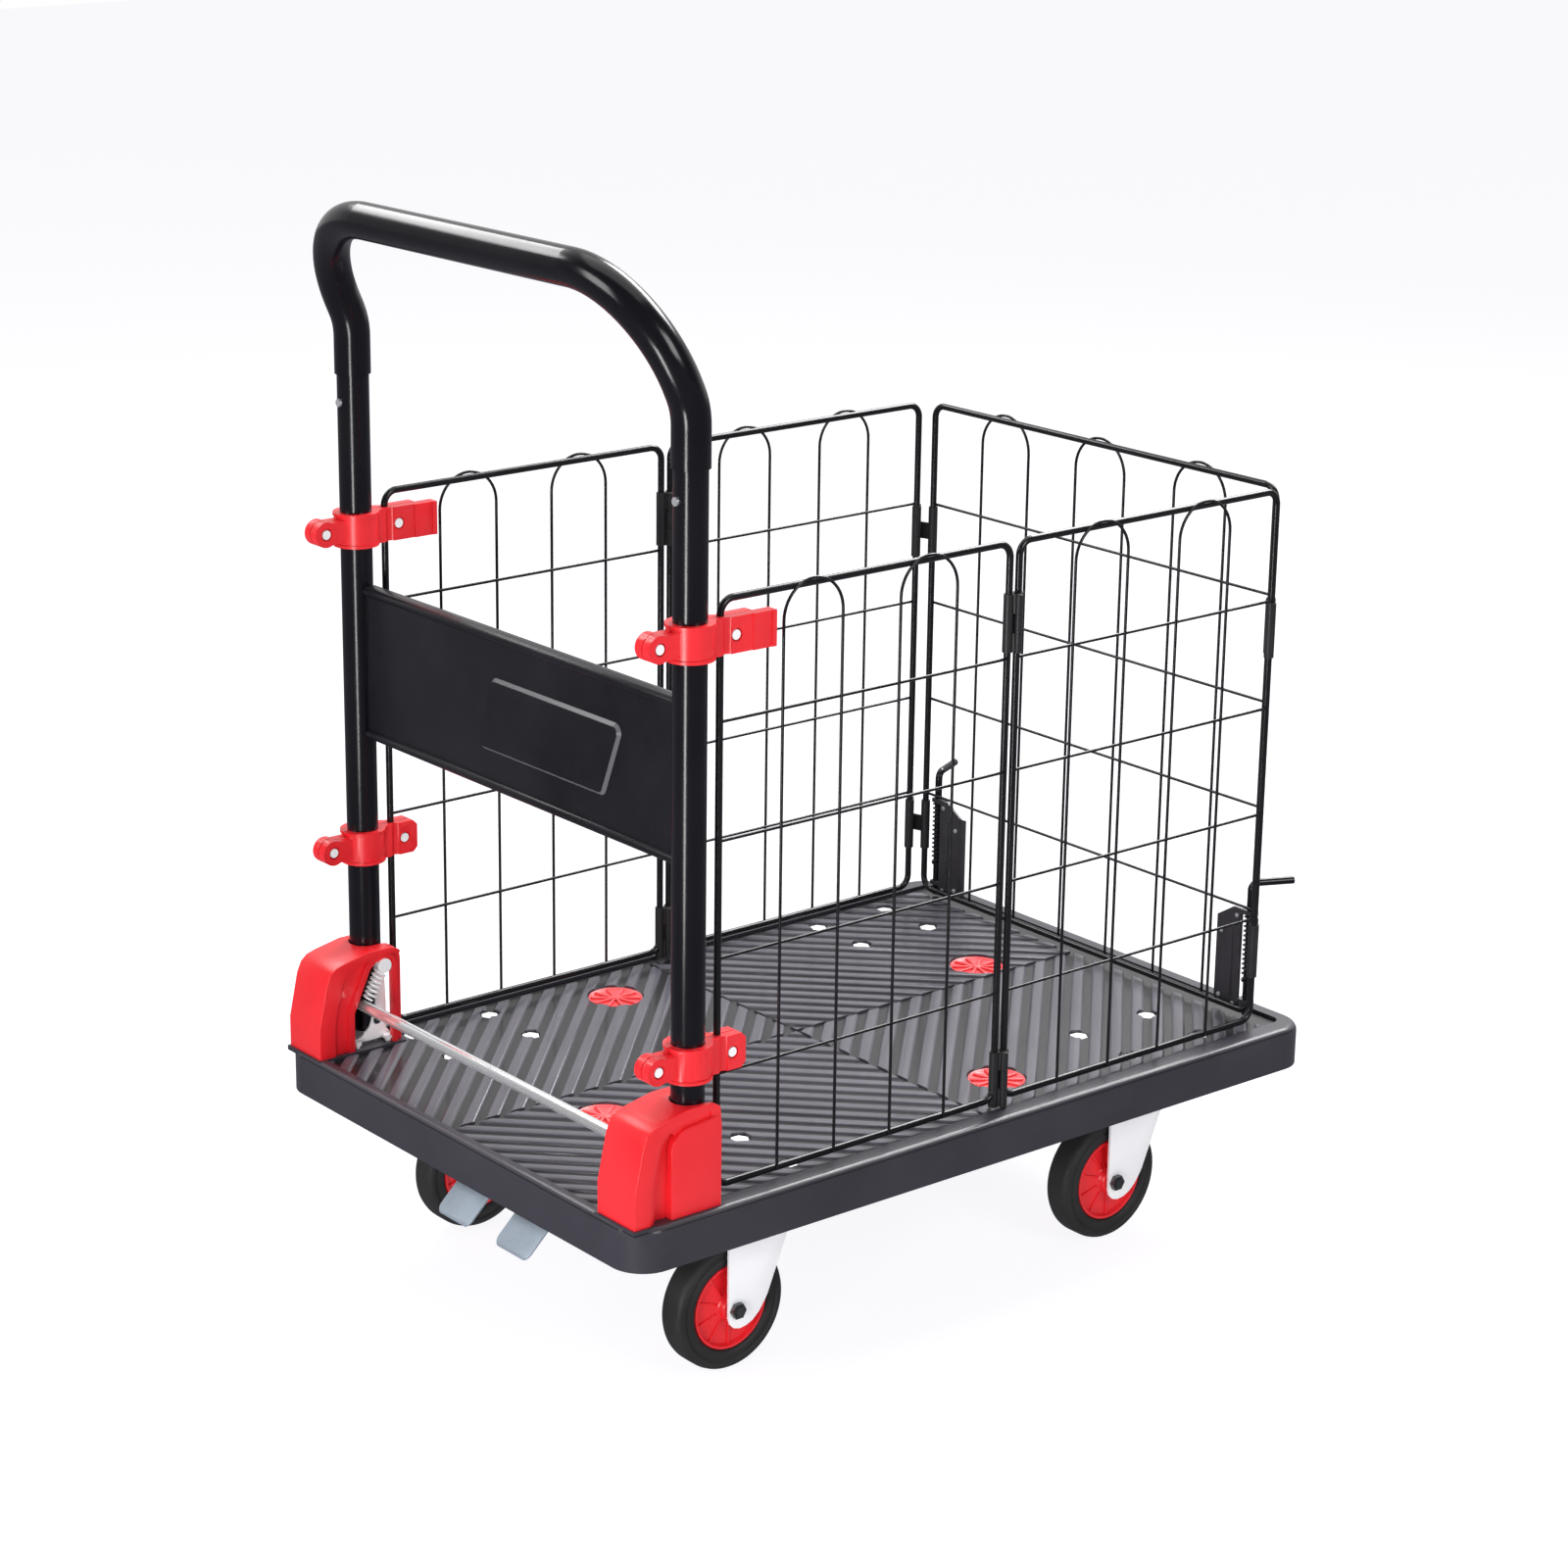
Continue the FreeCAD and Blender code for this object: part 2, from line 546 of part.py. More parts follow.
# ---------------------------------------------------------------- foot brake
def make_brake():
    """Two pedals on one rocker, a cross shaft with two arms, and a push pin in each kingpin."""
    rocker_rod = rod("rocker_rod", "brake_rod_radius", f"{SHAFT_POS} + deck_length / 2 + 30",
                     ("-deck_length / 2 + 8", "rocker_side", ROCKER), "x")
    high = f"{ROCKER} - pedal_drop"
    hanger = box("pedal_hanger", ("12", "3 * brake_rod_radius", "pedal_drop - 1"),
                 ("-deck_length / 2 + 9", "rocker_side - 1.5 * brake_rod_radius", high))
    bar = box("pedal_bar", ("12", "2 * pedal_width + pedal_gap", "pedal_wall + 1"),
              ("-deck_length / 2 + 9", "rocker_side - pedal_width - pedal_gap / 2", high))
    pads = []
    for i, start in enumerate(("rocker_side - pedal_gap / 2 - pedal_width",
                               "rocker_side + pedal_gap / 2")):
        body = new_body(f"pedal_{i}")
        points = [("-deck_length / 2 + 21", high), ("-deck_length / 2 + 21", f"{high} + pedal_wall"),
                  ("-deck_length / 2 - 1", f"{high} + pedal_wall"),
                  ("-deck_length / 2 - pedal_reach", f"{high} + pedal_wall - pedal_fall"),
                  ("-deck_length / 2 - pedal_reach", f"{high} - pedal_fall - 0.6"),
                  ("-deck_length / 2 + 0.5", high)]
        outline = sketch(body, f"pedal_{i}_outline", "XZ_Plane", points)
        pad(body, f"pedal_{i}_pad", outline, "pedal_width", back=True)
        place(body, ("0", start, "0"))
        pads.append(body)
    crank = box("crank", ("12", "rocker_crank + 4", "6"),
                (f"{SHAFT_POS} + 18", "rocker_side", f"{ROCKER} - 3"))
    node(fuse("brake_pedal_set", [rocker_rod, hanger, bar, crank] + pads), "brake_pedals")

    shaft = rod("cross_shaft", "brake_rod_radius", "2 * wheel_side + 12",
                (SHAFT_POS, "-wheel_side - 6", SHAFT), "y")
    arms = [box(f"brake_arm_{name}", ("brake_arm + 2", "10", "2 * brake_rod_radius"),
                (f"{SHAFT_POS} - brake_arm - 2", f"{sign} * wheel_side - 5", f"{SHAFT} - brake_rod_radius"))
            for name, sign in sides()]
    lever = box("shaft_lever", ("brake_arm + 2", "10", "6"),
                (SHAFT_POS, "rocker_side + rocker_crank - 5", f"{SHAFT} - 3"))
    nub = box("shaft_nub", ("4", "6", "rocker_drop - shaft_drop - 4.5"),
              (f"{SHAFT_POS} + brake_arm - 2", "rocker_side + rocker_crank - 3", f"{ROCKER} + 4.5"))
    node(fuse("brake_shaft_set", [shaft, lever, nub] + arms), "brake_shaft")

    tread = "sqrt(wheel_radius ^ 2 - (trail - brake_shoe_radius) ^ 2)"
    shoe_low = f"(wheel_radius + {tread} + brake_travel + 0.4)"
    for name, sign in sides():
        side = f"{sign} * wheel_side"
        stem = rod(f"push_stem_{name}", "king_bore - running_gap", f"{PIN_TOP} - {shoe_low}",
                   ("swivel_pos", side, shoe_low))
        shoe = rod(f"push_shoe_{name}", "brake_shoe_radius", "3", ("swivel_pos", side, shoe_low))
        node(fuse(f"brake_pin_set_{name}", [stem, shoe]), f"brake_pin_{name}")


# ---------------------------------------------------------------- handle
def make_posts():
    for name, sign in sides():
        where = ("post_pos", f"{sign} * post_side", "deck_top + post_foot")
        outer = rod(f"post_outer_{name}", "post_radius",
                    "sleeve_low + sleeve_grip - deck_top - post_foot", where)
        inner = rod(f"post_inner_{name}", "post_radius - post_wall", "sleeve_low + 200 - deck_top", where)
        bore = rod(f"post_bore_{name}", "pivot_radius + running_gap", "4 * post_radius",
                   ("post_pos", f"{sign} * post_side - 2 * post_radius", PIVOT), "y")
        node(cut(f"post_{name}_tube", outer, fuse(f"post_{name}_voids", [inner, bore])), f"post_{name}")


def make_handle():
    x0, y0 = val("post_pos"), val("post_side")
    low, neck = val("sleeve_low"), val("sleeve_low + neck_rise")
    top = neck + val("bar_rise")
    back = x0 - val("handle_lean")
    rise = V(x0 - back, 0, neck - top)
    corner = min(val("handle_corner"), 0.9 * rise.Length)
    points = []
    for sign in (1, -1):
        points.append((V(x0, sign * y0, low), V(x0, sign * y0, neck), V(back, sign * y0, top)))
    slope = math.atan2(x0 - back, top - neck)
    cutback = val("neck_radius") * math.tan(slope / 2)

    def bar(radius, start_low):
        edges = []
        first = points[0]
        up = (first[2] - first[1]).normalize()
        a = V(x0, first[0].y, start_low)
        b = V(x0, first[0].y, neck - cutback)
        c = first[1] + up * cutback
        bend = V(x0 - val("neck_radius"), first[0].y, neck - cutback)
        mid = bend + V(math.cos(slope / 2), 0, math.sin(slope / 2)) * val("neck_radius")
        d = first[2] - up * corner
        e = first[2] - V(0, corner, 0)
        centre = d - V(0, corner, 0)
        f = centre + (V(0, 1, 0) + up).normalize() * corner
        edges += [line(a, b), arc(b, mid, c)]
        if (d - c).Length > 0.01:
            edges.append(line(c, d))
        edges.append(arc(d, f, e))
        flip = [edge.mirror(V(0, 0, 0), Y_AXIS) for edge in edges]
        edges.append(line(e, V(e.x, -e.y, e.z)))
        ordered = Part.sortEdges(edges + flip)[0]
        return pipe(ordered, radius)

    outer = bar(val("handle_radius"), low)
    inner = bar(val("post_radius + seat_gap"), low)
    node(shaped("handle_tube_bar", outer.cut(inner)), "handle_tube")

    rivets = []
    for name, sign in sides():
        rivet = rod(f"rivet_{name}", "rivet_radius", "2.2",
                    ("post_pos - post_radius - 2.2 - seat_gap", f"{sign} * post_side",
                     "sleeve_low - rivet_rise"), "x")
        rivets.append(rivet)
    node(bundle("rivet_set", rivets), "handle_rivets")


def make_plate():
    """The sheet panel between the posts, its long edges turned forward as flanges."""
    half = "post_side - post_radius - weld_gap"
    web = box("plate_web", ("plate_wall", f"2 * ({half})", "plate_high - plate_low"),
              ("post_pos - plate_wall / 2", f"-({half})", "plate_low"))
    flanges = [box(f"plate_flange_{i}", ("plate_flange", f"2 * ({half})", "plate_wall"),
                   ("post_pos - plate_wall / 2", f"-({half})", z))
               for i, z in enumerate(("plate_low", "plate_high - plate_wall"))]
    node(fuse("handle_plate_sheet", [web] + flanges), "handle_plate")


# ---------------------------------------------------------------- feet and fold lock
def make_foot(name, sign):
    """A moulded cover: sloped back, open below, arched open inside, slotted for the post."""
    body = new_body(f"foot_{name}")
    top = "deck_top + foot_height"
    outline = [("foot_back", "deck_top"), ("foot_front", "deck_top"), ("foot_front - 3", top),
               ("foot_back + foot_slope", top), ("foot_back", "deck_top + foot_shoulder")]
    block = pad(body, f"foot_{name}_block", sketch(body, f"foot_{name}_outline", "XZ_Plane", outline),
                "foot_outer - foot_inner", back=True)
    place(body, ("0", mirrored_start(sign, "foot_inner", "foot_outer"), "0"))
    doc.recompute()
    high = val(top)
    soft = round_edges(body, f"foot_{name}_shoulders", block,
                       lambda e: is_across(e) and all(v.Z > high - 1 for v in e.Vertexes), "14")
    doc.recompute()

    core = new_body(f"foot_{name}_core")
    inner = [("foot_back + foot_wall", "deck_top - 1"), ("foot_front - foot_wall", "deck_top - 1"),
             ("foot_front - foot_wall - 3", f"{top} - foot_wall"),
             ("foot_back + foot_slope + foot_wall + 6", f"{top} - foot_wall"),
             ("foot_back + foot_wall", "deck_top + foot_shoulder")]
    pad(core, f"foot_{name}_void", sketch(core, f"foot_{name}_void_outline", "XZ_Plane", inner),
        "foot_outer - foot_inner - 2 * foot_wall", back=True)
    place(core, ("0", mirrored_start(sign, "foot_inner + foot_wall", "foot_outer - foot_wall"), "0"))

    arch = new_body(f"foot_{name}_arch")
    mouth = [("lock_pos - 15", "deck_top - 1"), ("lock_pos - 15", "deck_top + 40"),
             ("lock_pos + 8", f"{top} - 15"), ("lock_pos + 24", f"{top} - 9"),
             ("lock_pos + 35", f"{top} - 18"),
             ("lock_pos + 32", "deck_top - 1")]
    pad(arch, f"foot_{name}_mouth", sketch(arch, f"foot_{name}_mouth_outline", "XZ_Plane", mouth),
        "foot_wall + 2", back=True)
    place(arch, ("0", mirrored_start(sign, "foot_inner - 1", "foot_inner + foot_wall + 1"), "0"))

    hole = rod(f"foot_{name}_hole", "post_radius + 1.5", "40",
               ("post_pos", f"{sign} * post_side", f"{top} - 20"))
    slot = box(f"foot_{name}_slot", ("post_radius + 60", "2 * post_radius + 3", "foot_height"),
               ("post_pos", f"{sign} * post_side - post_radius - 1.5", "deck_top + pivot_rise"))
    tool = fuse(f"foot_{name}_tools", [core, arch, hole, slot])
    node(cut(f"foot_cover_{name}", body, tool), f"foot_cover_{name}")
    return soft


def cheek(name, low, notched):
    """One side plate of a handle bracket, bored for the pivot and, inside, slotted for the lock bar."""
    body = new_body(name)
    points = [("lock_pos - 16", "deck_top"), ("foot_front - 6", "deck_top"),
              ("spring_pin_pos + 11", f"{SPRING_PIN} + 6"),
              ("spring_pin_pos - 10", f"{SPRING_PIN} + 6"), ("lock_pos - 16", f"{LOCK} + 6")]
    outline = sketch(body, name + "_outline", "XZ_Plane", points)
    pad(body, name + "_pad", outline, "cheek_wall", back=True)
    place(body, ("0", low, "0"))
    tools = [rod(name + "_pivot", "pivot_radius + seat_gap", "20", ("post_pos", f"{low} - 8", PIVOT), "y"),
             rod(name + "_pin", "4 + seat_gap", "20", ("spring_pin_pos", f"{low} - 8", SPRING_PIN), "y")]
    if notched:
        run = math.hypot(val("spring_pin_pos - lock_pos"), val(f"{SPRING_PIN} - {LOCK}"))
        step = val("lock_travel") / run
        away = V(val("lock_pos - spring_pin_pos") * step, 0, val(f"{LOCK} - {SPRING_PIN}") * step)
        radius = val("lock_radius + running_gap")
        start = at("lock_pos", f"{low} - 8", LOCK)
        ends = [Part.makeCylinder(radius, 20, start, Y_AXIS),
                Part.makeCylinder(radius, 20, start + away, Y_AXIS)]
        side = away.cross(Y_AXIS).normalize() * radius
        strip = Part.Face(Part.makePolygon([start + side, start + away + side, start + away - side,
                                            start - side, start + side]))
        run_slot = strip.extrude(V(0, 20, 0))
        tools.append(shaped(name + "_slot", ends[0].fuse([ends[1], run_slot]).removeSplitter()))
    return cut(name + "_plate", body, fuse(name + "_bores", tools))


def make_brackets():
    brackets, bolts, pins, springs = [], [], [], []
    inner_far = "post_side - post_radius - cheek_gap"
    inner_near = f"{inner_far} - cheek_wall"
    outer_near = "post_side + post_radius + cheek_gap"
    outer_far = f"{outer_near} + cheek_wall"
    for name, sign in sides():
        inner = cheek(f"inner_cheek_{name}", mirrored_start(sign, inner_near, inner_far), True)
        outer = cheek(f"outer_cheek_{name}", mirrored_start(sign, outer_near, outer_far), False)
        base = box(f"bracket_base_{name}",
                   ("foot_front - 6 - lock_pos + 16", f"{outer_far} - foot_inner - 3", "cheek_wall"),
                   ("lock_pos - 16", mirrored_start(sign, "foot_inner + 3", outer_far), "deck_top"))
        holes = []
        by = f"{sign} * (foot_inner + 8.2)"
        for i, bx in enumerate(("lock_pos - 8", "foot_front - 14")):
            holes.append(rod(f"bracket_hole_{name}_{i}", "3 + seat_gap", "20",
                             (bx, by, "deck_top - 2")))
            stud = rod(f"bracket_stud_{name}_{i}", "3", "cheek_wall + 2", (bx, by, "deck_top"))
            head = rod(f"bracket_head_{name}_{i}", "5", "3",
                       (bx, by, "deck_top + cheek_wall + seat_gap"))
            bolts.append(fuse(f"bracket_bolt_{name}_{i}", [stud, head]))
        plates = fuse(f"bracket_blank_{name}", [inner, outer, base])
        brackets.append(cut(f"bracket_{name}", plates, fuse(f"bracket_holes_{name}", holes)))

        pins.append(rod(f"pivot_pin_{name}", "pivot_radius", "2 * (post_radius + cheek_gap + cheek_wall)",
                        ("post_pos", mirrored_start(sign, inner_near, outer_far), PIVOT), "y"))
        shank_low = mirrored_start(sign, "spring_side - 6", "spring_side + 9")
        shank = rod(f"spring_shank_{name}", "4", "15", ("spring_pin_pos", shank_low, SPRING_PIN), "y")
        head_low = mirrored_start(sign, "spring_side - 9", "spring_side - 6")
        head = rod(f"spring_head_{name}", "7.5", "3", ("spring_pin_pos", head_low, SPRING_PIN), "y")
        pins.append(fuse(f"spring_bolt_{name}", [shank, head]))

        start = at("spring_pin_pos", f"{sign} * spring_side", SPRING_PIN)
        end = at("lock_pos", f"{sign} * spring_side", LOCK)
        along = (end - start).normalize()
        a = start + along * (4 + 0.3)
        length = (end - start).Length - 4 - val("lock_radius") - 0.6
        coil = Part.makeCylinder(val("spring_radius"), length, a, along)
        hollow = Part.makeCylinder(val("spring_radius - spring_wire"), length, a, along)
        springs.append(shaped(f"lock_spring_{name}", coil.cut(hollow)))
    node(bundle("bracket_set", brackets), "hinge_brackets")
    node(bundle("bracket_bolt_set", bolts), "bracket_bolts")
    node(bundle("bracket_pin_set", pins), "bracket_pins")
    node(bundle("lock_spring_set", springs), "lock_springs")
    node(rod("lock_bar_rod", "lock_radius", "2 * (post_side - post_radius) - 0.6",
             ("lock_pos", "-(post_side - post_radius) + 0.3", LOCK), "y"), "lock_bar")


# ---------------------------------------------------------------- post clamps
def make_clamps():
    screws = []
    clamps = (("clamp_upper_left", 1, "clamp_high", "clamp_long_end", "clamp_short_end", True),
              ("clamp_upper_right", -1, "clamp_high", "clamp_long_end", "clamp_short_end", True),
              ("clamp_lower_left", 1, "clamp_low_left", "clamp_low_end", "clamp_low_end", False),
              ("clamp_lower_right", -1, "clamp_low_right", "clamp_low_end", "clamp_low_end", False))
    for name, sign, mid, long_end, short_end, lipped in clamps:
        side = f"{sign} * post_side"
        low = f"{mid} - clamp_height / 2"
        halves = []
        for i, (face, end) in enumerate(((-1, long_end), (1, short_end))):
            start = f"{side} + clamp_split" if face > 0 else f"{side} - (clamp_split + clamp_plate)"
            ring = rod(f"{name}_ring_{i}", "post_radius + clamp_wall", "clamp_height",
                       ("post_pos", side, low))
            half_low = f"{side} + clamp_split" if face > 0 else f"{side} - clamp_split - 40"
            half = box(f"{name}_half_{i}", ("80", "40", "clamp_height + 2"),
                       ("post_pos - 40", half_low, f"{low} - 1"))
            shell = doc.addObject("Part::Common", f"{name}_shell_{i}")
            shell.Base = ring
            shell.Tool = half
            lug = rod(f"{name}_lug_{i}", "clamp_lug_radius", "clamp_plate", ("-clamp_lug", start, mid), "y")
            neck = box(f"{name}_neck_{i}", ("clamp_lug + post_pos", "clamp_plate", "2 * clamp_lug_radius"),
                       ("-clamp_lug", start, f"{mid} - clamp_lug_radius"))
            plate = box(f"{name}_plate_{i}", (f"{end} - post_pos", "clamp_plate", "clamp_height"),
                        ("post_pos", start, low))
            solids = [shell, lug, neck, plate]
            if lipped and face < 0:
                solids.append(box(f"{name}_lip", ("5", "clamp_lip + 1", "clamp_height"),
                                  (f"{end} - 5", f"{start} - clamp_lip", low)))
            bores = [rod(f"{name}_bore_{i}", "post_radius + seat_gap", "clamp_height + 2",
                         ("post_pos", side, f"{low} - 1")),
                     rod(f"{name}_wire_bore_{i}", "frame_wire + running_gap", "clamp_height + 2",
                         ("cage_front", side, f"{low} - 1")),
                     rod(f"{name}_screw_bore_a_{i}", "clamp_screw + seat_gap", "40",
                         ("-clamp_lug", f"{side} - 20", mid), "y"),
                     rod(f"{name}_screw_bore_b_{i}", "clamp_screw + seat_gap", "40",
                         ("clamp_screw_pos", f"{side} - 20", mid), "y")]
            blank = fuse(f"{name}_blank_{i}", solids)
            halves.append(cut(f"{name}_shell_half_{i}", blank, fuse(f"{name}_bores_{i}", bores)))
        node(bundle(name + "_set", halves), name)
        for i, pos in enumerate(("-clamp_lug", "clamp_screw_pos")):
            reach = "clamp_split + clamp_plate + seat_gap"
            shank = rod(f"{name}_screw_{i}", "clamp_screw", f"2 * ({reach}) + 5",
                        (pos, f"{side} - ({reach}) - 1", mid), "y")
            head = rod(f"{name}_head_{i}", "clamp_screw + 2.2", "2.6",
                       (pos, f"{side} - ({reach}) - 2.6", mid), "y")
            nut = rod(f"{name}_nut_{i}", "clamp_screw + 1.8", "3", (pos, f"{side} + {reach}", mid), "y")
            screws.append(fuse(f"{name}_screw_set_{i}", [shank, head, nut]))
    node(bundle("clamp_screw_set", screws), "clamp_screws")


# ---------------------------------------------------------------- cage
def frame_loop(length, radius):
    """The two halves of a panel's round-cornered frame, along +X from the origin."""
    low, high, bend, middle = val("cage_low"), val("cage_high"), val("frame_bend"), length / 2
    first = [V(middle, 0, low), V(0, 0, low), V(0, 0, high), V(middle, 0, high)]
    other = [V(middle, 0, high), V(length, 0, high), V(length, 0, low), V(middle, 0, low)]
    return [pipe(corner_path(points, bend), radius) for points in (first, other)]


def mesh_panel(length, arches):
    """A mesh panel along +X from the origin, its outside towards -Y, at the cage's height."""
    frame, mesh = val("frame_wire"), val("mesh_wire")
    low, high = val("cage_low"), val("cage_high")
    out = -(frame + mesh - val("wire_weld"))
    rung = out + 2 * mesh - val("wire_weld")
    solids = frame_loop(length, frame)
    cell = (high - low) / 5
    for k in range(1, 5):
        z = low + k * cell
        solids.append(Part.makeCylinder(mesh, length, V(0, rung, z), X_AXIS))
    gap = length / (2 * arches + 1)
    for k in range(arches):
        a = gap * (2 * k + 1)
        top = high + val("arch_bump")
        radius = gap / 2
        foot_a, foot_b = V(a, out, low), V(a + gap, out, low)
        knee_a, knee_b = V(a, out, top - radius), V(a + gap, out, top - radius)
        crown = V(a + radius, out, top)
        solids.append(pipe([line(foot_a, knee_a), arc(knee_a, crown, knee_b), line(knee_b, foot_b)], mesh))
    whole = solids[0].fuse(solids[1:]).removeSplitter()
    return whole


def side_spans():
    """Name, start and end of the two panels along each side."""
    yield "side_front", val("cage_front"), val("cage_mid - mid_step")
    yield "side_rear", val("cage_mid + mid_step"), val("cage_back - corner_step")


def make_panels():
    side, back, corner = val("post_side"), val("cage_back"), val("corner_step")
    for name, start, end in side_spans():
        panel = mesh_panel(end - start, 2)
        right = panel.copy()
        right.translate(V(start, -side, 0))
        node(shaped(f"{name}_right_mesh", right), f"{name}_right")
        left = panel.mirror(V(0, 0, 0), Y_AXIS)
        left.translate(V(start, side, 0))
        node(shaped(f"{name}_left_mesh", left), f"{name}_left")
    end_panel = mesh_panel(2 * (side - corner), 3)
    end_panel.rotate(V(0, 0, 0), Z_AXIS, 90)
    end_panel.translate(V(back, -side + corner, 0))
    node(shaped("end_panel_mesh", end_panel), "end_panel")


def wire_voids():
    """The room that each panel's frame takes inside the hinge clips round it."""
    radius = val("frame_wire + seat_gap")
    side, back, corner = val("post_side"), val("cage_back"), val("corner_step")
    voids = {}
    for name, start, end in side_spans():
        for label, sign in sides():
            loops = [loop.translated(V(start, sign * side, 0)) for loop in frame_loop(end - start, radius)]
            voids[f"{name}_{label}"] = loops
    loops = frame_loop(2 * (side - corner), radius)
    for loop in loops:
        loop.rotate(V(0, 0, 0), Z_AXIS, 90)
        loop.translate(V(back, -side + corner, 0))
    voids["end_panel"] = loops
    return voids


def leaf(wire, axis, z_mid, knuckles, voids, foot=None):
    """A hinge leaf: a clip round one wire, on a foot if given, and an arm to its share of the barrel."""
    length, gap = val("hinge_length"), val("hinge_gap")
    low, third = z_mid - length / 2, length / 3
    solids = [Part.makeCylinder(val("hinge_clip"), length, V(wire.x, wire.y, low))]
    if foot is not None:
        solids.append(Part.makeCylinder(val("hinge_clip"), low - foot + 1, V(wire.x, wire.y, foot)))
    edge = (axis - wire).cross(Z_AXIS).normalize() * val("hinge_arm / 2")
    corners = [wire + edge, axis + edge, axis - edge, wire - edge, wire + edge]
    for k in knuckles:
        z = low + k * third + (gap / 2 if k else 0)
        tall = third - (gap if k == 1 else gap / 2)
        solids.append(Part.makeCylinder(val("hinge_barrel"), tall, V(axis.x, axis.y, z)))
        solids.append(Part.Face(Part.makePolygon([V(p.x, p.y, z) for p in corners])).extrude(V(0, 0, tall)))
    whole = solids[0].fuse(solids[1:])
    bore = Part.makeCylinder(val("hinge_pin + running_gap"), length + 2, V(axis.x, axis.y, low - 1))
    return whole.cut([bore] + voids)


def hinge_line(tag, wires, axis, heights, voids, foot=None):
    """Two hinges on one line: leaves on both wires, the pins held by the first leaves."""
    first, second = [], []
    length = val("hinge_length")
    for i, z in enumerate(heights):
        low_foot = foot if i else None
        first.append(shaped(f"{tag}_a_{i}", leaf(wires[0], axis, z, (0, 2), voids[0], low_foot)))
        second.append(shaped(f"{tag}_b_{i}", leaf(wires[1], axis, z, (1,), voids[1], low_foot)))
        pin = Part.makeCylinder(val("hinge_pin"), length, V(axis.x, axis.y, z - length / 2))
        first.append(shaped(f"{tag}_pin_{i}", pin))
    return first, second


def make_hinges():
    side, mid, back = val("post_side"), val("cage_mid"), val("cage_back")
    step, offset = val("mid_step"), val("mid_offset")
    corner, inset = val("corner_step"), val("corner_offset")
    mid_heights = (val("mid_hinge_high"), val("mid_hinge_low"))
    corner_heights = (val("corner_hinge_high"), val("corner_hinge_low"))
    voids = wire_voids()
    foot = val("deck_top + peg_gap")
    for name, sign in sides():
        y = sign * side
        front, rear, end = voids[f"side_front_{name}"], voids[f"side_rear_{name}"], voids["end_panel"]
        wires = (V(mid - step, y, 0), V(mid + step, y, 0))
        a, b = hinge_line(f"mid_{name}", wires, V(mid, y - offset, 0), mid_heights, (front, rear), foot)
        node(bundle(f"mid_hinge_{name}_a", a), f"mid_hinge_{name}_front")
        node(bundle(f"mid_hinge_{name}_b", b), f"mid_hinge_{name}_rear")
        wires = (V(back - corner, y, 0), V(back, y - sign * corner, 0))
        centre = V(back - inset, y + inset, 0)
        a, b = hinge_line(f"corner_{name}", wires, centre, corner_heights, (rear, end))
        node(bundle(f"corner_hinge_{name}_a", a), f"corner_hinge_{name}_side")
        node(bundle(f"corner_hinge_{name}_b", b), f"corner_hinge_{name}_end")


# ---------------------------------------------------------------- corner latches
def make_latches():
    """Drop bolts in brackets on the end panel, drawn lifted, that pin it to the deck."""
    brackets = []
    face = "(cage_back + frame_wire)"
    bolt_x = "(cage_back + latch_stand)"
    room = "(latch_radius + latch_wall)"
    base_z = "(cage_low - frame_wire)"
    ear_low = f"({base_z} + latch_wall + 6)"
    ear_high = f"({base_z} + latch_height - latch_wall - 3)"
    stop_z = f"({ear_low} + latch_wall + 3 + latch_lift + 0.5)"
    for name, sign in sides():
        inner, outer = "latch_side - latch_width - 8", "latch_side - 8"
        plates = [box(f"latch_back_{name}", ("latch_base", "latch_width", "latch_height"),
                      (face, mirrored_start(sign, inner, outer), base_z)),
                  box(f"latch_flange_{name}", ("latch_flange", "latch_wall", "latch_height"),
                      (face, mirrored_start(sign, inner, f"{inner} + latch_wall"), base_z))]
        for i, z in enumerate((ear_low, ear_high)):
            plates.append(box(f"latch_ear_{name}_{i}",
                              (f"{bolt_x} + {room} - {face}", f"{room} + 10", "latch_wall + 3"),
                              (face, mirrored_start(sign, f"{outer} - 2", f"latch_side + {room}"), z)))
        bore = rod(f"latch_bore_{name}", "latch_radius + running_gap", "latch_height + 40",
                   (bolt_x, f"{sign} * latch_side", "cage_low - 20"))
        brackets.append(cut(f"latch_bracket_{name}", fuse(f"latch_blank_{name}", plates), bore))

        x, y = val(bolt_x), sign * val("latch_side")
        radius = val("latch_radius")
        angle = math.radians(sign * val("latch_splay"))
        low, top = V(x, y, val("deck_top + latch_tip")), V(x, y, val("latch_top"))
        tip = top + V(math.cos(angle), math.sin(angle), 0) * val("latch_grip")
        rod_bent = pipe(corner_path([low, top, tip], 2 * radius), radius)
        stop = Part.makeCylinder(radius + 2, val("latch_stop"), V(x, y, val(stop_z)))
        node(shaped(f"latch_rod_{name}", rod_bent.fuse(stop)), f"latch_bolt_{name}")

        start, end = val(f"{stop_z} + latch_stop") + 0.3, val(ear_high) - 0.3
        coil = Part.makeCylinder(val("latch_spring"), end - start, V(x, y, start))
        hollow = Part.makeCylinder(radius + 0.4, end - start, V(x, y, start))
        node(shaped(f"latch_coil_{name}", coil.cut(hollow)), f"latch_spring_{name}")
    node(bundle("latch_bracket_set", brackets), "latch_brackets")


# ---------------------------------------------------------------- build, check, write
def build():
    make_deck()
    make_plugs()
    make_caster_bolts()
    make_swivel_casters()
    make_rigid_casters()
    make_wheels()
    make_brake()
    make_posts()
    make_handle()
    make_plate()
    for name, sign in sides():
        make_foot(name, sign)
    make_brackets()
    make_clamps()
    make_panels()
    make_hinges()
    make_latches()
    doc.recompute()


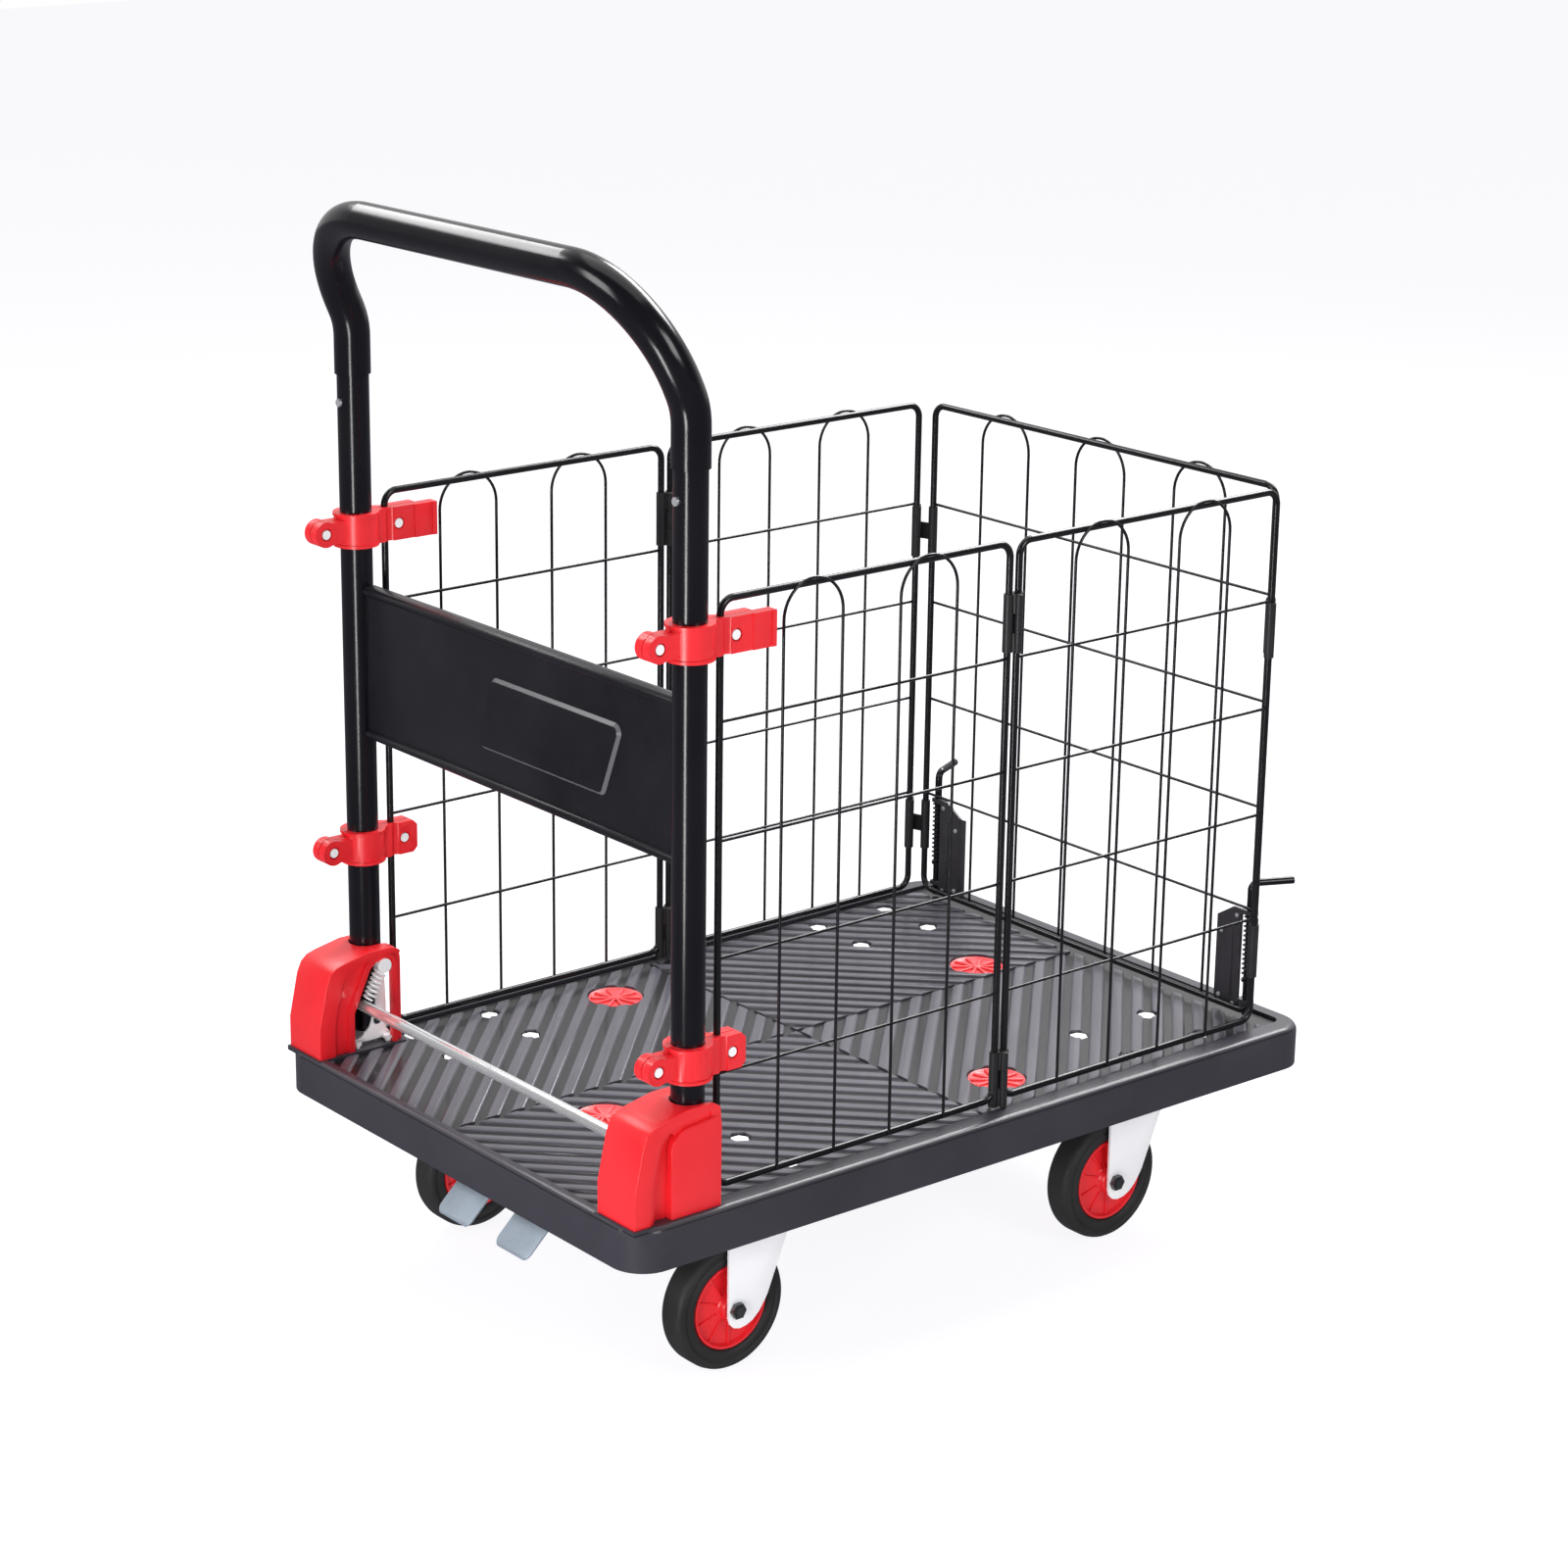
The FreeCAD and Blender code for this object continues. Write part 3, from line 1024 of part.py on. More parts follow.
def check():
    for obj in doc.Objects:
        bad = [word for word in ("Invalid", "Error") if word in obj.State]
        if bad:
            raise RuntimeError(f"{obj.Name} is {bad}")
    for obj in NODES:
        if obj.Shape.isNull() or not obj.Shape.isValid() or not obj.Shape.Solids:
            raise RuntimeError(f"{obj.Label} has no valid solid")


def write():
    os.makedirs("parts", exist_ok=True)
    for obj in NODES:
        obj.Shape.exportStep(f"parts/{obj.Label}.step")
        print(obj.Label, len(obj.Shape.Solids), "solids", round(obj.Shape.Volume))


build()
check()
write()
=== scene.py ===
# %% [markdown]
# # A folding platform cart, finished in Blender
# The cart comes from CAD as a fixed frame: every node already has its size and its place, in
# metres, with +X towards the far end, +Y to the left and +Z up. This lesson gives the frame its
# finishes, and models again the pieces that need more shape than CAD gave them, such as
# the ribbed deck, the red covers and clamps, the wheels and the coil springs.

# %% Load the frame
import bpy
import json
import math
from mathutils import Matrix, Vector


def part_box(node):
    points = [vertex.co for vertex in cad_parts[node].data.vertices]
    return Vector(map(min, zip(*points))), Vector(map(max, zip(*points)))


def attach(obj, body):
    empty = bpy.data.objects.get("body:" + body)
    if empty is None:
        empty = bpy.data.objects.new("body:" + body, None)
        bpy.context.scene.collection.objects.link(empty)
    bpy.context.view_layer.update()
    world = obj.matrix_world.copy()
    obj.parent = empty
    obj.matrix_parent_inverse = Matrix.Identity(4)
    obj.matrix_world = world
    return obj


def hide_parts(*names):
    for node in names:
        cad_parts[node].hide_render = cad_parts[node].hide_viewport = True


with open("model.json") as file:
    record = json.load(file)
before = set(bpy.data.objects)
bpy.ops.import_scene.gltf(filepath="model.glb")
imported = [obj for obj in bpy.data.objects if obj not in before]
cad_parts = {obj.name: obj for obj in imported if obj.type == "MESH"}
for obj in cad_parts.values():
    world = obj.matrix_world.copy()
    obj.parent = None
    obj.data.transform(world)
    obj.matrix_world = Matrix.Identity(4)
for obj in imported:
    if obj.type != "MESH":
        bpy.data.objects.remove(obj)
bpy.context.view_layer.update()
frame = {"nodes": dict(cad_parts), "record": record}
MM = 0.001

# %% [markdown]
# ## Camera and light
# The camera comes early, because every later choice of bevel or colour is judged through it. A
# long lens from far away keeps the cart's upright lines nearly parallel. The light that follows is
# a plain studio: a white backdrop behind the cart, a dim room elsewhere and a few soft lamps.

# %% Camera
def look_from(place, heading, down, roll):
    """A rotation that looks along a compass heading, tipped down, all in degrees."""
    level = math.cos(math.radians(down))
    ahead = Vector((math.cos(math.radians(heading)) * level, math.sin(math.radians(heading)) * level,
                    -math.sin(math.radians(down))))
    turn = ahead.to_track_quat("-Z", "Y").to_matrix().to_4x4()
    turn.translation = Vector(place)
    return turn


bpy.ops.object.select_all(action="DESELECT")
bpy.ops.object.camera_add()
camera = bpy.context.active_object
camera.name = "studio_camera"
camera.matrix_world = look_from((-2.321, -2.750, 1.6137), 52.78, 17.23, 0.18)
camera.data.lens = 85
camera.data.sensor_width = 36
camera.data.shift_x = 0.103
camera.data.shift_y = -0.0084
bpy.context.scene.camera = camera
print("camera at", [round(c, 3) for c in camera.location])

# %% [markdown]
# ## Paper and backdrop
# The cart stands on one large plane, as on a roll of studio paper. The paper is pale by itself,
# and looks darker in reflections, as a dim room would. Behind the cart the backdrop is pure white.
# Both are two shaders with a Light Path between them, which tells a camera ray from a glossy one.

# %% One surface seen two ways
def set_inputs(node, **values):
    """Set a node's inputs by name, with _ for each space."""
    for label, value in values.items():
        node.inputs[label.replace("_", " ")].default_value = value


def shown_by_ray(tree, kind, otherwise, when_so, output):
    """Show one shader to rays of a kind, and another to all the rest."""
    ray = tree.nodes.new("ShaderNodeLightPath")
    either = tree.nodes.new("ShaderNodeMixShader")
    tree.links.new(ray.outputs[kind], either.inputs["Fac"])
    tree.links.new(otherwise, either.inputs[1])
    tree.links.new(when_so, either.inputs[2])
    tree.links.new(either.outputs["Shader"], tree.nodes[output].inputs["Surface"])


# %% Floor
bpy.ops.mesh.primitive_plane_add(size=24, location=(0, 0, 0))
floor = bpy.context.active_object
floor.name = "studio_floor"
paper = bpy.data.materials.new("studio_paper")
paper.use_nodes = True
tree = paper.node_tree
paper_shader = tree.nodes["Principled BSDF"]
set_inputs(paper_shader, Base_Color=(0.20, 0.195, 0.21, 1), Roughness=0.9, Specular_IOR_Level=0.0,
           Emission_Color=(0.98, 0.975, 1.0, 1), Emission_Strength=0.91)
dim = tree.nodes.new("ShaderNodeEmission")
set_inputs(dim, Color=(0.20, 0.20, 0.22, 1))
shown_by_ray(tree, "Is Glossy Ray", paper_shader.outputs["BSDF"], dim.outputs["Emission"], "Material Output")
floor.data.materials.append(paper)
print("floor:", floor.name, "paper:", paper.name)

# %% Backdrop
BEHIND_CART = (0.605, 0.796, 0.0)
surround = bpy.data.worlds.new("studio_surround")
bpy.context.scene.world = surround
surround.use_nodes = True
tree = surround.node_tree
seen = tree.nodes["Background"]
room = tree.nodes.new("ShaderNodeBackground")
for shader in (seen, room):
    set_inputs(shader, Color=(1, 1, 1, 1))
aim = tree.nodes.new("ShaderNodeVectorMath")
aim.operation = "DOT_PRODUCT"
aim.inputs[1].default_value = BEHIND_CART
tree.links.new(tree.nodes.new("ShaderNodeTexCoord").outputs["Generated"], aim.inputs[0])
falloff = tree.nodes.new("ShaderNodeMapRange")
falloff.interpolation_type = "SMOOTHSTEP"
set_inputs(falloff, From_Min=0.05, From_Max=0.75, To_Min=0.10, To_Max=0.80)
tree.links.new(aim.outputs["Value"], falloff.inputs["Value"])
tree.links.new(falloff.outputs["Result"], room.inputs["Strength"])
shown_by_ray(tree, "Is Camera Ray", room.outputs["Background"], seen.outputs["Background"], "World Output")
bpy.context.scene.view_settings.view_transform = "Standard"
print("backdrop:", surround.name)

# %% [markdown]
# ## Lamps
# Soft boxes light the cart from above and from both sides. A black tube shows almost nothing but
# what it mirrors, so two strips stand where the tubes mirror them, and each draws a bright line.
# A large box beyond the far end brings out the ribs' flanks.

# %% Six lamps
def lamp(name, place, target, size, power):
    """A rectangular soft lamp that faces a target."""
    bpy.ops.object.light_add(type="AREA", location=place)
    made = bpy.context.active_object
    made.name = name
    made.rotation_euler = (Vector(target) - Vector(place)).to_track_quat("-Z", "Y").to_euler()
    made.data.shape = "RECTANGLE"
    made.data.size, made.data.size_y = size
    made.data.energy = power
    return made


middle = (0, 0, 0.5)
lamp("overhead_box", (0.2, 0.1, 3.4), middle, (2.6, 2.6), 30)
lamp("left_box", (-3.6, 0.6, 2.4), middle, (1.6, 1.6), 65)
lamp("right_box", (0.2, -3.9, 2.4), middle, (1.6, 1.6), 65)
lamp("left_strip", (-1.58, -0.80, 0.35), (-0.36, -0.27, 0.35), (0.26, 0.68), 10)
lamp("back_strip", (-0.6, 2.3, 2.7), (-0.36, 0, 0.8), (2.2, 0.5), 34)
lamp("far_box", (2.6, 0.6, 3.1), (0, -0.2, 0.2), (2.6, 1.4), 190)

# %% [markdown]
# ## Shared effects
# A real moulding is never one colour: it has a fine grain, faint cloudy patches where the plastic
# cooled, and small rub marks. Painted and plated metal has the same three effects at other sizes.
# They could be drawn again in every material, but one node group each, with named inputs, keeps
# them alike and easy to tune. A group gives out only masks and heights. The shader stays outside.

# %% Node group helpers
def new_group(name, inputs, outputs):
    """A shader node group with float inputs (name, value) and float outputs."""
    group = bpy.data.node_groups.new(name, "ShaderNodeTree")
    group.interface.new_socket(name="Place", in_out="INPUT", socket_type="NodeSocketVector")
    for label, value in inputs:
        socket = group.interface.new_socket(name=label, in_out="INPUT", socket_type="NodeSocketFloat")
        socket.default_value = value
    for label in outputs:
        group.interface.new_socket(name=label, in_out="OUTPUT", socket_type="NodeSocketFloat")
    return group, group.nodes.new("NodeGroupInput"), group.nodes.new("NodeGroupOutput")


def add_math(tree, operation, first, second):
    """A math node fed by sockets or plain numbers."""
    made = tree.nodes.new("ShaderNodeMath")
    made.operation = operation
    for socket, source in zip(made.inputs, (first, second)):
        if isinstance(source, (int, float)):
            socket.default_value = source
        else:
            tree.links.new(source, socket)
    return made.outputs[0]


def add_noise(tree, place, scale, detail=3.0, roughness=0.55):
    """A noise texture on a place vector, with its scale as a socket or a number."""
    made = tree.nodes.new("ShaderNodeTexNoise")
    set_inputs(made, Detail=detail, Roughness=roughness)
    tree.links.new(place, made.inputs["Vector"])
    if isinstance(scale, (int, float)):
        made.inputs["Scale"].default_value = scale
    else:
        tree.links.new(scale, made.inputs["Scale"])
    return made.outputs["Fac"]


# %% Clouds, grain and rubs
clouds, clouds_in, clouds_out = new_group("soft_clouds", [("Size", 9.0), ("Contrast", 1.6)], ["Mask"])
patch = add_noise(clouds, clouds_in.outputs["Place"], clouds_in.outputs["Size"], 4.0)
centred = add_math(clouds, "SUBTRACT", patch, 0.5)
spread = add_math(clouds, "MULTIPLY", centred, clouds_in.outputs["Contrast"])
shifted = add_math(clouds, "ADD", spread, 0.5)
clouds.links.new(shifted, clouds_out.inputs["Mask"])

grain, grain_in, grain_out = new_group("fine_grain", [("Size", 700.0), ("Depth", 1.0)], ["Height"])
pits = add_noise(grain, grain_in.outputs["Place"], grain_in.outputs["Size"], 2.0, 0.7)
deep = add_math(grain, "MULTIPLY", pits, grain_in.outputs["Depth"])
grain.links.new(deep, grain_out.inputs["Height"])

rubs, rubs_in, rubs_out = new_group("rub_marks", [("Size", 30.0), ("Amount", 0.5)], ["Mask"])
stretch = rubs.nodes.new("ShaderNodeMapping")
set_inputs(stretch, Rotation=(0.3, 0.2, 0.6), Scale=(0.35, 6.0, 1.5))
rubs.links.new(rubs_in.outputs["Place"], stretch.inputs["Vector"])
streaks = add_noise(rubs, stretch.outputs["Vector"], rubs_in.outputs["Size"], 5.0, 0.65)
sharp = rubs.nodes.new("ShaderNodeMapRange")
set_inputs(sharp, From_Min=0.56, From_Max=0.74)
rubs.links.new(streaks, sharp.inputs["Value"])
scaled = add_math(rubs, "MULTIPLY", sharp.outputs["Result"], rubs_in.outputs["Amount"])
rubs.links.new(scaled, rubs_out.inputs["Mask"])
print("groups:", [g.name for g in bpy.data.node_groups])

# %% [markdown]
# ## Finishes
# Every finish of the cart is the same recipe with its own numbers: two near colours mixed by the
# clouds, a roughness that the clouds and rub marks move up and down, and a bump made from the
# grain. Metalness, coat and specular level are the same all over a piece, so they are set on the
# shader itself.

# %% The recipe
finishes = {}


def finish(name, dark, light, rough, metal=0.0, coat=0.0, specular=0.5, cloud=9.0, grain_size=700.0,
           depth=0.00002, rub=0.3):
    """A material from two near colours, a roughness range and a grain."""
    made = bpy.data.materials.new(name)
    made.use_nodes = True
    tree = made.node_tree
    shader = tree.nodes["Principled BSDF"]
    set_inputs(shader, Metallic=metal, Coat_Weight=coat, Coat_Roughness=0.08, Specular_IOR_Level=specular)
    place = tree.nodes.new("ShaderNodeTexCoord").outputs["Object"]

    def effect(group, output, **values):
        """One of the shared effects, fed with the point's own place."""
        node = tree.nodes.new("ShaderNodeGroup")
        node.node_tree = group
        tree.links.new(place, node.inputs["Place"])
        set_inputs(node, **values)
        return node.outputs[output]

    patches = effect(clouds, "Mask", Size=cloud, Contrast=1.8)
    marks = effect(rubs, "Mask", Size=30.0, Amount=rub)
    colour = tree.nodes.new("ShaderNodeValToRGB")
    colour.color_ramp.elements[0].color = (*dark, 1)
    colour.color_ramp.elements[1].color = (*light, 1)
    worn = add_math(tree, "ADD", patches, marks)
    tree.links.new(worn, colour.inputs["Fac"])
    tree.links.new(colour.outputs["Color"], shader.inputs["Base Color"])

    sheen = tree.nodes.new("ShaderNodeMapRange")
    set_inputs(sheen, To_Min=rough[0], To_Max=rough[1])
    tree.links.new(worn, sheen.inputs["Value"])
    tree.links.new(sheen.outputs["Result"], shader.inputs["Roughness"])

    bump = tree.nodes.new("ShaderNodeBump")
    set_inputs(bump, Distance=depth)
    tree.links.new(effect(grain, "Height", Size=grain_size, Depth=1.0), bump.inputs["Height"])
    tree.links.new(bump.outputs["Normal"], shader.inputs["Normal"])
    finishes[name] = made
    return made


# %% The finishes
finish("deck_plastic", (0.029, 0.027, 0.036), (0.044, 0.041, 0.053), (0.34, 0.46), specular=0.32, coat=0.25,
       depth=0.00008, grain_size=900)
# The ribs' plastic is the deck's plastic made paler: a painted highlight on the ribs, where light catches
# them.
finish("rib_plastic", (0.062, 0.059, 0.074), (0.095, 0.090, 0.113), (0.30, 0.42), specular=0.40, coat=0.3,
       depth=0.00006, grain_size=900)
finish("black_plastic", (0.010, 0.010, 0.011), (0.020, 0.020, 0.022), (0.35, 0.50), depth=0.00008)
finish("red_plastic", (0.72, 0.010, 0.016), (0.86, 0.020, 0.030), (0.26, 0.36), depth=0.00003, rub=0.15)
finish("pale_red_plastic", (0.80, 0.055, 0.065), (0.92, 0.12, 0.13), (0.32, 0.45), depth=0.00003, rub=0.2)
finish("zinc", (0.74, 0.76, 0.79), (0.88, 0.89, 0.91), (0.30, 0.45), metal=0.85, depth=0.00004, cloud=30)
# Plated zinc made near-white and barely metallic: the bright surroundings it would mirror are painted into
# its colour, a painted reflection.
finish("bright_zinc", (0.90, 0.91, 0.93), (0.97, 0.97, 0.98), (0.34, 0.48), metal=0.10, depth=0.00003,
       cloud=30)
finish("zinc_dark", (0.06, 0.065, 0.07), (0.14, 0.145, 0.15), (0.30, 0.45), metal=0.9, depth=0.00004,
       cloud=60)
finish("pedal_steel", (0.267, 0.318, 0.377), (0.355, 0.407, 0.476), (0.35, 0.50), metal=0.4, depth=0.00006,
       cloud=40)
# Chrome with a share of plain white colour: part of its bright reflection is painted in.
finish("chrome", (0.90, 0.91, 0.93), (0.97, 0.97, 0.98), (0.06, 0.14), metal=0.78, depth=0.00001, cloud=40)
finish("black_paint", (0.003, 0.003, 0.005), (0.006, 0.006, 0.009), (0.15, 0.22), specular=0.36,
       depth=0.00003, grain_size=300)
finish("satin_black", (0.028, 0.026, 0.030), (0.050, 0.047, 0.055), (0.30, 0.42), depth=0.00004)
finish("panel_paint", (0.004, 0.004, 0.006), (0.013, 0.012, 0.017), (0.26, 0.36), specular=0.3, depth=0.00002)
finish("black_wire", (0.005, 0.005, 0.006), (0.010, 0.010, 0.012), (0.18, 0.28), specular=0.4, depth=0.00002,
       grain_size=400)
finish("tyre", (0.012, 0.012, 0.012), (0.028, 0.028, 0.029), (0.50, 0.68), specular=0.4, depth=0.00012,
       grain_size=500)
print("finishes:", sorted(finishes))

# %% [markdown]
# ## Painted shade in the grooves
# Shade falls between the ribs, so their floor is painted dark, while the ribs get a paler copy of the
# deck's plastic as a painted highlight. The grooves' floor is the deck's field, which lies at one
# height, so the material darkens a thin slice at that height. The same slice mask paints the
# highlight on the panel's raised slope further on.

# %% A colour in thin slices
def tint_slices(finish_name, slices, colour):
    """Mix a colour in where a point lies within every (axis, middle, reach) slice."""
    tree = finishes[finish_name].node_tree
    shader = tree.nodes["Principled BSDF"]
    base = shader.inputs["Base Color"].links[0].from_socket
    place = tree.nodes.new("ShaderNodeSeparateXYZ")
    tree.links.new(tree.nodes.new("ShaderNodeTexCoord").outputs["Object"], place.inputs[0])
    mask = 1.0
    for axis, middle, reach in slices:
        inside = add_math(tree, "COMPARE", place.outputs[axis], middle)
        inside.node.inputs[2].default_value = reach
        mask = add_math(tree, "MULTIPLY", inside, mask)
    shade = tree.nodes.new("ShaderNodeMix")
    shade.data_type = "RGBA"
    shade.inputs[7].default_value = (*colour, 1)
    tree.links.new(mask, shade.inputs[0])
    tree.links.new(base, shade.inputs[6])
    tree.links.new(shade.outputs[2], shader.inputs["Base Color"])


# %% Paint shade on the field's floor
field_top = frame["record"]["mounts"][0]["pos_m"][2]
# Painted shade: the field between the ribs is darkened where the ribs shade it.
tint_slices("deck_plastic", [("Z", field_top, 0.6 * MM)], (0.008, 0.008, 0.010))
print("field darkened at", round(field_top, 4))

# %% [markdown]
# ## The pieces that CAD already shaped
# Tubes, wires, bolts and plates are right as they came, so they keep their meshes and only swap
# their material. The name of a node says what it is made of on the real cart.

# %% Dress the CAD nodes
def both(*names):
    """The left and the right node of each name."""
    return [f"{name}_{side}" for name in names for side in ("left", "right")]


NODE_FINISH = {
    "deck_plastic": ["deck"],
    "red_plastic": ["deck_plugs"] + both("foot_cover", "clamp_upper", "clamp_lower", "swivel_hub",
                                         "rigid_hub"),
    "bright_zinc": ["caster_bolts", "clamp_screws", "bracket_bolts", "bracket_pins"],
    "zinc": ["swivel_plates", "kingpins", "rigid_forks", "hinge_brackets", "lock_springs", "brake_shaft",
             "handle_rivets"] + both("swivel_fork", "brake_pin"),
    "zinc_dark": ["rigid_axles"] + both("swivel_axle"),
    "pedal_steel": ["brake_pedals"],
    "chrome": ["lock_bar"],
    "black_paint": ["handle_tube", "handle_plate", "latch_brackets"]
    + both("post", "latch_bolt", "latch_spring"),
    "black_wire": ["end_panel"] + both("side_front", "side_rear"),
    "tyre": both("swivel_tyre", "rigid_tyre"),
    "black_plastic": [name for name in frame["nodes"] if "hinge_" in name and "bracket" not in name],
}
for finish_name, node_names in NODE_FINISH.items():
    for node_name in node_names:
        slots = frame["nodes"][node_name].data.materials
        slots.clear()
        slots.append(finishes[finish_name])
left_out = set(frame["nodes"]) - {name for names in NODE_FINISH.values() for name in names}
print("nodes without a finish:", sorted(left_out))

# %% [markdown]
# ## A small workshop
# Each new piece starts from a primitive at its real size and place. It is shaped in edit mode on
# faces and edges that are picked by where they are, and finished with modifiers that are applied.
# These helpers keep the later cells short. Everything is deselected before each step, because an
# operator acts on all that is selected.

# %% Start a piece
def middle_of(node):
    """The middle of a CAD node's box."""
    low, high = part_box(node)
    return Vector([(a + b) / 2 for a, b in zip(low, high)])


def only(obj):
    """Select one object and nothing else."""
    bpy.ops.object.select_all(action="DESELECT")
    obj.select_set(True)
    bpy.context.view_layer.objects.active = obj


def edit_all():
    """Open the active piece in edit mode with all of it selected."""
    bpy.ops.object.mode_set(mode="EDIT")
    bpy.ops.mesh.select_all(action="SELECT")


def close_up():
    """Turn every face outwards and leave edit mode."""
    bpy.ops.mesh.select_all(action="SELECT")
    bpy.ops.mesh.normals_make_consistent(inside=False)
    bpy.ops.object.mode_set(mode="OBJECT")


def started(name):
    """Name the primitive that was just added and put its place into its mesh."""
    obj = bpy.context.active_object
    only(obj)
    obj.name = obj.data.name = name
    bpy.ops.object.transform_apply(location=True, rotation=True, scale=True)
    return obj


def block(name, low, high):
    """A cube drawn out between two corners."""
    middle = [(a + b) / 2 for a, b in zip(low, high)]
    size = [abs(b - a) for a, b in zip(low, high)]
    bpy.ops.mesh.primitive_cube_add(size=1, location=middle, scale=size)
    return started(name)


def rod(name, radius, start, end, sides=32):
    """A cylinder between two points."""
    a, b = Vector(start), Vector(end)
    turn = (b - a).to_track_quat("Z", "Y").to_euler()
    bpy.ops.mesh.primitive_cylinder_add(vertices=sides, radius=radius, depth=(b - a).length,
                                        location=(a + b) / 2, rotation=turn)
    return started(name)


def slab(name, outline, low, high, across="y"):
    """A filled ring moved to an outline and extruded from low to high along one axis."""
    bpy.ops.mesh.primitive_circle_add(vertices=len(outline), radius=0.01, fill_type="NGON")
    obj = started(name)
    for vertex, (a, b) in zip(obj.data.vertices, outline):
        vertex.co = {"x": (low, a, b), "y": (a, low, b), "z": (a, b, low)}[across]
    move = {"x": (high - low, 0, 0), "y": (0, high - low, 0), "z": (0, 0, high - low)}[across]
    edit_all()
    bpy.ops.mesh.extrude_region_move(TRANSFORM_OT_translate={"value": move})
    close_up()
    return obj


# %% Pick and shape
def pick(obj, kind, test):
    """Open a piece in edit mode with only the faces or edges that pass a test selected."""
    only(obj)
    bpy.ops.object.mode_set(mode="EDIT")
    bpy.ops.mesh.select_mode(type=kind)
    bpy.ops.mesh.select_all(action="DESELECT")
    bpy.ops.object.mode_set(mode="OBJECT")
    points = obj.data.vertices
    if kind == "FACE":
        for face in obj.data.polygons:
            face.select = bool(test(face.center, face.normal))
    else:
        for edge in obj.data.edges:
            a, b = (points[i].co for i in edge.vertices)
            edge.select = bool(test(a, b))
    bpy.ops.object.mode_set(mode="EDIT")


def round_edges(obj, width, segments, test):
    """Bevel the edges that pass a test, in edit mode."""
    pick(obj, "EDGE", test)
    bpy.ops.mesh.bevel(offset=width, segments=segments, affect="EDGES", clamp_overlap=True)
    bpy.ops.object.mode_set(mode="OBJECT")
    return obj


def apply_modifier(obj, kind, **settings):
    """Add one modifier, set it up and apply it."""
    only(obj)
    made = obj.modifiers.new(kind.lower(), kind)
    for label, value in settings.items():
        setattr(made, label, value)
    bpy.ops.object.modifier_apply(modifier=made.name)
    return obj


def soften(obj, width, segments=2, angle=32):
    """Round every edge sharper than an angle, and shade the rest smooth."""
    apply_modifier(obj, "BEVEL", width=width, segments=segments, limit_method="ANGLE",
                   angle_limit=math.radians(angle))
    bpy.ops.object.shade_smooth_by_angle(angle=math.radians(38))
    return obj


def carve(obj, *tools, how="DIFFERENCE"):
    """Cut tools out of a piece, or join them to it, and throw the tools away."""
    for tool in tools:
        apply_modifier(obj, "BOOLEAN", operation=how, solver="EXACT", object=tool)
        bpy.data.objects.remove(tool)
    return obj


def joined(name, parts):
    """Several meshes as one piece."""
    bpy.ops.object.select_all(action="DESELECT")
    for part in parts:
        part.select_set(True)
    bpy.context.view_layer.objects.active = parts[0]
    bpy.ops.object.join()
    obj = bpy.context.active_object
    obj.name = obj.data.name = name
    return obj


def copied(obj, name, move=(0, 0, 0), turn=0.0, axis="Z", centre=(0, 0, 0), mirror=False):
    """A copy with its own mesh, turned about a centre, mirrored across the cart or moved."""
    only(obj)
    bpy.ops.object.duplicate(linked=False)
    made = bpy.context.active_object
    made.name = made.data.name = name
    edit_all()
    if turn:
        bpy.ops.transform.rotate(value=turn, orient_axis=axis, center_override=centre)
    if mirror:
        bpy.ops.transform.resize(value=(1, -1, 1), center_override=(0, 0, 0))
        bpy.ops.mesh.normals_make_consistent(inside=False)
    bpy.ops.transform.translate(value=move)
    bpy.ops.object.mode_set(mode="OBJECT")
    return made


def mirrored_pair(name, right):
    """A right-hand part and its mirror image, as one piece."""
    return joined(name, [right, copied(right, f"{name}_left", mirror=True)])


def fit(obj, body, finish_name, *nodes, slot=None):
    """Give a finished piece its material, its body and the CAD nodes that it stands for."""
    obj.data.materials.clear()
    obj.data.materials.append(finishes[finish_name])
    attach(obj, body)
    if nodes:
        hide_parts(*nodes)
    print(obj.name, len(obj.data.polygons), "faces,", "rides on", body)
    return obj

# %% [markdown]
# ## Ribs on the deck
# The deck's field is moulded with broad anti-slip ribs at 45 degrees, in four fields whose
# direction changes from one to the next. They could be a bump in the material, but a bump has no
# flanks to catch the light at a low angle. So one bar is modelled, an Array repeats it, four
# bisects trim it to its field, and the bolt pockets and plugs are cut out.

# %% One field of ribs
deck_low, deck_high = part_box("deck")
RIB_PITCH, RIB_WIDTH, RIB_HEIGHT = 21.3 * MM, 14 * MM, 2.2 * MM
RIB_TAPER = 0.72
CUT_LOW, CUT_HIGH = field_top - 2 * MM, field_top + 8 * MM


